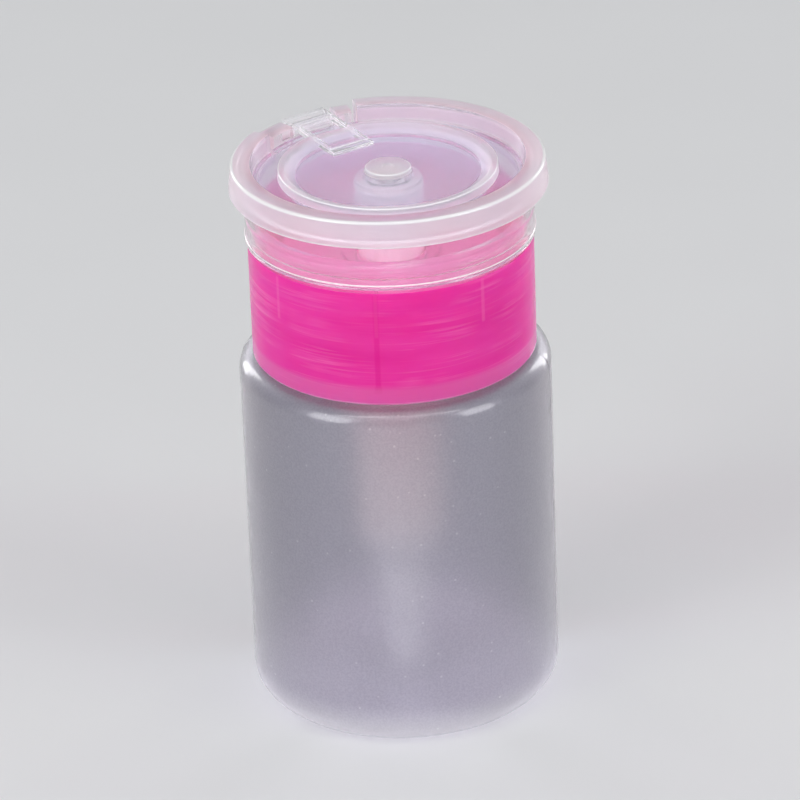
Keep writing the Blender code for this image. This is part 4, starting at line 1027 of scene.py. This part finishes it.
def bump(material, field, depth):
    """Adds fine relief, its depth in metres, over what the material has already."""
    normal = shader_of(material).inputs["Normal"]
    sockets = {"Strength": 1.0, "Distance": depth, "Height": field}
    if normal.is_linked:
        sockets["Normal"] = normal.links[0].from_socket
    on_shader(material, {"Normal": node(material, "Bump", sockets).outputs["Normal"]})


def plastic(
    name, colours, roughness, noises, depth, clearness=0.0, ior=1.45, coat=None, lamps=None
):
    """A plastic whose colour, roughness and relief each follow a noise of (scale, detail).

    colours and roughness: the plain value, then both ends of what the noise gives
    depth: of the relief, in metres
    clearness: share of the light that passes
    coat: weight and roughness of the glossy skin
    lamps: tint of the lamplight that reaches what lies behind
    """
    material = principled(name, colours[0], roughness[0], clearness, ior)
    tone, grain, relief = noises
    vary_colour(material, noise(material, *tone), *colours[1:])
    vary_roughness(material, noise(material, *grain), *roughness[1:])
    bump(material, noise(material, *relief), depth)
    if coat:
        skin(material, *coat)
    if lamps:
        let_lamps_through(material, lamps)
    return material


def frosted_material():
    """Frosted plastic: hazy, grained and a little dusty, milkier towards the thick base."""
    material = plastic(
        "bottle_frosting", ((0.62, 0.61, 0.675), (0.555, 0.545, 0.61), (0.685, 0.675, 0.735)),
        (0.33, 0.29, 0.40), ((3200, 2), (900, 3), (90, 2)), 0.00006, 0.98, 1.40,
        coat=(0.85, 0.08), lamps=(0.87, 0.86, 0.89),
    )
    haze = (HAZE_LOW_Z, HAZE_HIGH_Z)
    tint_where(material, height_share(material, *haze, 0.8, 0.0), (0.90, 0.88, 0.92))
    tint_where(material, specks(material, SPECKS_PER_METRE, SPECK_REACH), (0.97, 0.97, 1.0))
    on_shader(material, {"Transmission Weight": height_share(material, *haze, 0.35, 0.98)})
    return material


def marked(material, lines, low, high, colour, strength):
    """Tints upright lines between two heights."""
    fade = RIB_HALF
    rise = height_share(material, low - fade, low + fade, 0.0, strength)
    fall = height_share(material, high - fade, high + fade, 1.0, 0.0)
    tint_where(material, product(material, lines, product(material, rise, fall)), colour)


def pink_streaks(material, colour, strength, flatness=42):
    """Patches of fine brush-like lines round the collar."""
    lines = spread(material, noise(material, STREAK_SCALE, 2, (1, 1, flatness)), *STREAK_SPAN)
    patches = spread(material, noise(material, PATCH_SCALE, 2), *PATCH_SPAN)
    share = product(material, lines, patches)
    tint_where(material, product(material, share, strength), colour)
    return share


def pink_material():
    """Translucent magenta moulding with flow streaks and a paler foot."""
    material = plastic(
        "collar_pink", ((0.86, 0.034, 0.41), (0.83, 0.026, 0.39), (0.88, 0.048, 0.445)),
        (0.22, 0.16, 0.26), ((60, 3, (1, 1, 5)), (500, 2), (60, 2, (1, 1, 4))), 0.00006, 0.16, 1.30,
        coat=(0.15, 0.10), lamps=(0.90, 0.22, 0.52),
    )
    pink_streaks(material, (0.94, 0.14, 0.55), 0.5, 13)
    bump(material, pink_streaks(material, (0.98, 0.22, 0.60), 0.36), STREAK_DEPTH)
    ribs = near_lines(material, RIB_FIRST_DEG, RIB_COUNT, RIB_HALF * 1.3, COLLAR_RADIUS)
    marked(material, ribs, RIB_BOTTOM_Z, RIB_TOP_Z, (0.98, 0.25, 0.62), 0.24)
    deep = (0.78, 0.0, 0.31)
    flow = near_lines(material, RIB_FIRST_DEG, 1, RIB_HALF * 1.8, COLLAR_RADIUS)
    marked(material, flow, FLOW_DOT_Z, RIB_TOP_Z, deep, 0.5)
    dot = near_lines(material, RIB_FIRST_DEG, 1, FLOW_DOT_HALF, COLLAR_RADIUS)
    marked(material, dot, FLOW_DOT_Z - FLOW_DOT_HALF, FLOW_DOT_Z + FLOW_DOT_HALF, deep, 0.65)
    foot_band = height_share(material, FOOT_BAND_LOW_Z, FOOT_BAND_HIGH_Z, 0.5, 0.0)
    tint_where(material, foot_band, (0.78, 0.22, 0.53))
    on_shader(material, {"Specular IOR Level": 0.2})
    glow_through(material, GLOW_DEPTH, (1.0, 0.3, 0.7))
    return material


def pink_edge_highlight_material():
    """The lower edge of the collar painted bright: a painted highlight for the light that runs out
    there.
    """
    material = plastic(
        "collar_pink_edge_highlight", ((1.0, 0.30, 0.66), (0.99, 0.24, 0.60), (1.0, 0.38, 0.70)),
        (0.22, 0.16, 0.25), ((260, 2), (700, 2), (400, 2)), 0.00002, 0.2, 1.35, coat=(0.8, 0.08),
    )
    glow_through(material, GLOW_DEPTH, (1.0, 1.0, 1.0))
    return material


def thin_pink_material():
    """The same plastic where it is thin: the sleeve and the deck."""
    material = plastic(
        "collar_pink_thin", ((0.95, 0.36, 0.72), (0.94, 0.31, 0.68), (0.96, 0.41, 0.76)),
        (0.16, 0.12, 0.2), ((170, 3, (1, 1, 9)), (500, 2), (60, 2, (1, 1, 4))), 0.00006, 0.74, 1.20,
        lamps=(0.95, 0.55, 0.78),
    )
    bump(material, pink_streaks(material, (1.0, 0.90, 0.96), 1.0), STREAK_DEPTH)
    return material


def clear_material():
    """Natural moulding plastic of the head ring, clear but a little milky."""
    return plastic(
        "head_clear", ((0.98, 0.965, 0.985), (0.975, 0.96, 0.985), (0.985, 0.97, 0.985)),
        (0.12, 0.09, 0.16), ((70, 2), (300, 3), (120, 2)), 0.00004, 0.93, 1.20,
        coat=(0.8, 0.07), lamps=(0.93, 0.92, 0.93),
    )


def milky_material():
    """The lid's plastic in its rim, satin and rather milky, a little pink."""
    material = plastic(
        "lid_milky", ((0.87, 0.79, 0.84), (0.86, 0.80, 0.86), (0.88, 0.78, 0.83)),
        (0.30, 0.29, 0.38), ((70, 2), (300, 3), (120, 2)), 0.00004, 0.68, 1.22,
        coat=(0.25, 0.12), lamps=(0.88, 0.86, 0.88),
    )
    near, far = LID_RIM_INNER_RADIUS + LID_ROUND, LID_RIM_INNER_RADIUS + LID_RIM_WALL * 2
    inner_band = radius_share(material, near, far, 0.7, 0.0)
    tint_where(material, inner_band, (0.90, 0.72, 0.77))
    return material


def ring_material():
    """The lid's plastic in its raised ring, milky outside and clearing inwards."""
    material = plastic(
        "lid_ring", ((0.93, 0.88, 0.93), (0.92, 0.875, 0.935), (0.94, 0.89, 0.925)),
        (0.30, 0.29, 0.37), ((90, 2), (300, 3), (120, 2)), 0.00003, 0.72, 1.22,
        lamps=(0.90, 0.88, 0.90),
    )
    crest = LID_RING_RADIUS - LID_RING_FLAT
    foot = crest - LID_RING_SLOPE
    tint_where(material, radius_share(material, foot, crest, 1.0, 0.0), (0.85, 0.845, 0.935))
    on_shader(material, {"Transmission Weight": radius_share(material, foot, crest, 0.86, 0.66)})
    return material


def boss_material():
    """The lid's plastic in its boss."""
    return plastic(
        "lid_boss", ((0.95, 0.91, 0.935), (0.94, 0.905, 0.94), (0.96, 0.915, 0.93)),
        (0.30, 0.29, 0.37), ((90, 2), (300, 3), (120, 2)), 0.00003, 0.80, 1.22,
        lamps=(0.92, 0.90, 0.92),
    )


def tongue_material():
    """The lid's plastic in the thin strap of the hinge, quite clear."""
    return plastic(
        "tongue_clear", ((0.975, 0.97, 0.985), (0.965, 0.96, 0.985), (0.975, 0.97, 0.985)),
        (0.15, 0.12, 0.19), ((90, 2), (300, 3), (150, 2)), 0.00003, 0.90, 1.12,
        coat=(0.3, 0.08), lamps=(0.95, 0.94, 0.95),
    )


def disc_material():
    """The lid's plastic where it is flat: a lavender haze."""
    return plastic(
        "lid_disc", ((0.85, 0.845, 0.935), (0.84, 0.84, 0.94), (0.86, 0.85, 0.93)),
        (0.21, 0.17, 0.25), ((60, 2), (300, 3), (120, 2)), 0.00003, 0.87, 1.20,
        coat=(0.2, 0.10), lamps=(0.90, 0.88, 0.92),
    )


def edge_highlight_material():
    """Edges of the same plastic painted whiter: a painted highlight for the light that runs out of
    them.
    """
    return plastic(
        "head_edge_highlight", ((0.985, 0.975, 0.985), (0.97, 0.95, 0.98), (0.99, 0.985, 0.99)),
        (0.35, 0.3, 0.4), ((260, 2), (700, 2), (400, 2)), 0.00001, 0.12, 1.35,
        coat=(0.8, 0.10), lamps=(0.93, 0.92, 0.93),
    )


def hazy_material():
    """The dish's plastic, seen through the lid as a haze, milkier and pinker in its hub."""
    material = plastic(
        "dish_hazy", ((0.95, 0.93, 0.985), (0.94, 0.92, 0.98), (0.96, 0.94, 0.985)),
        (0.20, 0.16, 0.25), ((90, 2), (300, 3), (150, 2)), 0.00005, 0.80, 1.20,
        lamps=(0.88, 0.85, 0.87),
    )
    hub = (COLUMN_RADIUS, COLUMN_RADIUS + LIP_ROUND)
    tint_where(material, radius_share(material, *hub, 1.0, 0.0), (0.985, 0.945, 0.945))
    on_shader(material, {"Transmission Weight": radius_share(material, *hub, 0.62, 0.80)})
    return material


def cream_material():
    """Satin pale pink plastic of the stem."""
    material = plastic(
        "stem_cream", ((0.955, 0.89, 0.86), (0.94, 0.865, 0.84), (0.97, 0.915, 0.88)),
        (0.42, 0.36, 0.5), ((220, 3), (600, 2), (800, 2)), 0.00001,
    )
    glow_through(material, STEM_GLOW_DEPTH, (1.0, 0.6, 0.6), 0.35)
    return material


def natural_material():
    """Milky unpigmented plastic of the pump, warmer where the stem and piston show through."""
    material = plastic(
        "pump_natural", ((0.96, 0.89, 0.84), (0.94, 0.865, 0.815), (0.985, 0.915, 0.865)),
        (0.40, 0.34, 0.48), ((180, 3), (500, 2), (700, 2)), 0.00001, 0.06, 1.46,
    )
    cool = height_share(material, WARM_LOW_Z, WARM_HIGH_Z, 0.85, 0.0)
    tint_where(material, cool, (0.96, 0.955, 0.95))
    return material


def tube_material():
    """Milky plastic of the drawn tube, whiter than the pump's, with faint lines along it."""
    return plastic(
        "tube_natural", ((0.95, 0.94, 0.935), (0.93, 0.92, 0.915), (0.97, 0.96, 0.955)),
        (0.36, 0.31, 0.42), ((240, 3, (1, 1, 0.1)), (500, 2, (1, 1, 0.1)), (900, 2, (1, 1, 0.05))),
        0.00001, 0.05, 1.46,
    )


def soft_material():
    """Soft sealing plastic."""
    return plastic(
        "seal_soft", ((0.78, 0.78, 0.80), (0.74, 0.74, 0.77), (0.82, 0.82, 0.84)),
        (0.6, 0.5, 0.7), ((400, 3), (900, 3), (1200, 3)), 0.00001,
    )


def steel_material():
    """Bright drawn stainless steel."""
    material = principled("steel_drawn", (0.62, 0.62, 0.63), 0.2, ior=1.5, metallic=1.0)
    vary_roughness(material, noise(material, 1500, 2, (1, 1, 6)), 0.14, 0.26)
    bump(material, noise(material, 2500, 2, (1, 1, 8)), 0.000004)
    return material


def dress_nodes(materials):
    """Gives the nodes that keep their own shape their finish."""
    for names, material in materials:
        for name in names:
            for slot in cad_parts[name].material_slots:
                slot.material = material


def make_camera():
    """Camera at the photograph's place, turned a little about its own axis."""
    data = bpy.data.cameras.new("camera")
    data.lens = CAMERA_LENS
    data.sensor_width = SENSOR_WIDTH
    data.clip_start = CAMERA_CLIP_START
    data.clip_end = CAMERA_CLIP_END
    camera = add("camera", data)
    place = Vector(CAMERA_PLACE)
    look = (Vector(CAMERA_AIM) - place).to_track_quat("-Z", "Y")
    roll = Matrix.Rotation(math.radians(CAMERA_ROLL_DEG), 4, "Z")
    camera.matrix_world = Matrix.Translation(place) @ look.to_matrix().to_4x4() @ roll
    bpy.context.scene.camera = camera


def make_lights():
    """Plain soft studio light from rectangular lamps that face the object."""
    turn = Matrix.Rotation(math.radians(CAMERA_AZIMUTH_DEG), 3, "Z")
    for name, (right, back, up), width, height, power in LAMPS:
        data = bpy.data.lights.new(name, "AREA")
        data.shape = "RECTANGLE"
        data.size = width
        data.size_y = height
        data.energy = power
        lamp = add(name, data)
        place = turn @ Vector((right, -back, up))
        lamp.location = place
        aim = Vector((0.0, 0.0, LID_UNDERSIDE_Z / 2)) - place
        lamp.rotation_euler = aim.to_track_quat("-Z", "Y").to_euler()


def make_world():
    """Pale surroundings, even from every side."""
    world = bpy.data.worlds.new("studio")
    bpy.context.scene.world = world
    world.use_nodes = True
    sky = world.node_tree.nodes["Background"]
    sky.inputs["Color"].default_value = (*SKY_COLOUR, 1.0)
    sky.inputs["Strength"].default_value = SKY_STRENGTH


def make_floor():
    """Plain pale floor with a very faint unevenness."""
    material = principled("floor_pale", (0.80, 0.805, 0.815), 0.6)
    vary_colour(material, noise(material, 1.5, 2), (0.79, 0.795, 0.805), (0.81, 0.815, 0.825))
    vary_roughness(material, noise(material, 30, 2), 0.55, 0.65)
    bm = bmesh.new()
    signs = ((-1, -1), (1, -1), (1, 1), (-1, 1))
    bm.faces.new([bm.verts.new((x * FLOOR_HALF, y * FLOOR_HALF, FLOOR_Z)) for x, y in signs])
    finish_mesh(bm, "floor", material)


def build():
    """Dresses the whole dispenser and its stage."""
    clear = clear_material()
    milky = milky_material()
    # Edge finish painted whiter, a painted highlight on the clear parts' edges
    edge = edge_highlight_material()
    make_bottle(frosted_material())
    make_collar(pink_material(), thin_pink_material(), pink_edge_highlight_material())
    make_head_shell(clear, milky, edge)
    make_lid(milky, ring_material(), disc_material(), boss_material(), edge)
    make_tongue(tongue_material(), edge)
    make_dish(hazy_material())
    make_stem(cream_material())
    make_nozzle(clear)
    steel = steel_material()
    make_spring(steel)
    dress_nodes([
        (("pump_cylinder", "retaining_ring", "ball_cage"), natural_material()),
        (("dip_tube",), tube_material()),
        (("rod_wiper", "piston", "neck_gasket"), soft_material()),
        (("outlet_ball", "inlet_ball"), steel),
        (("hinge_pin",), clear),
    ])
    make_camera()
    make_lights()
    make_world()
    make_floor()
    bpy.context.scene.view_settings.view_transform = "Standard"


build()
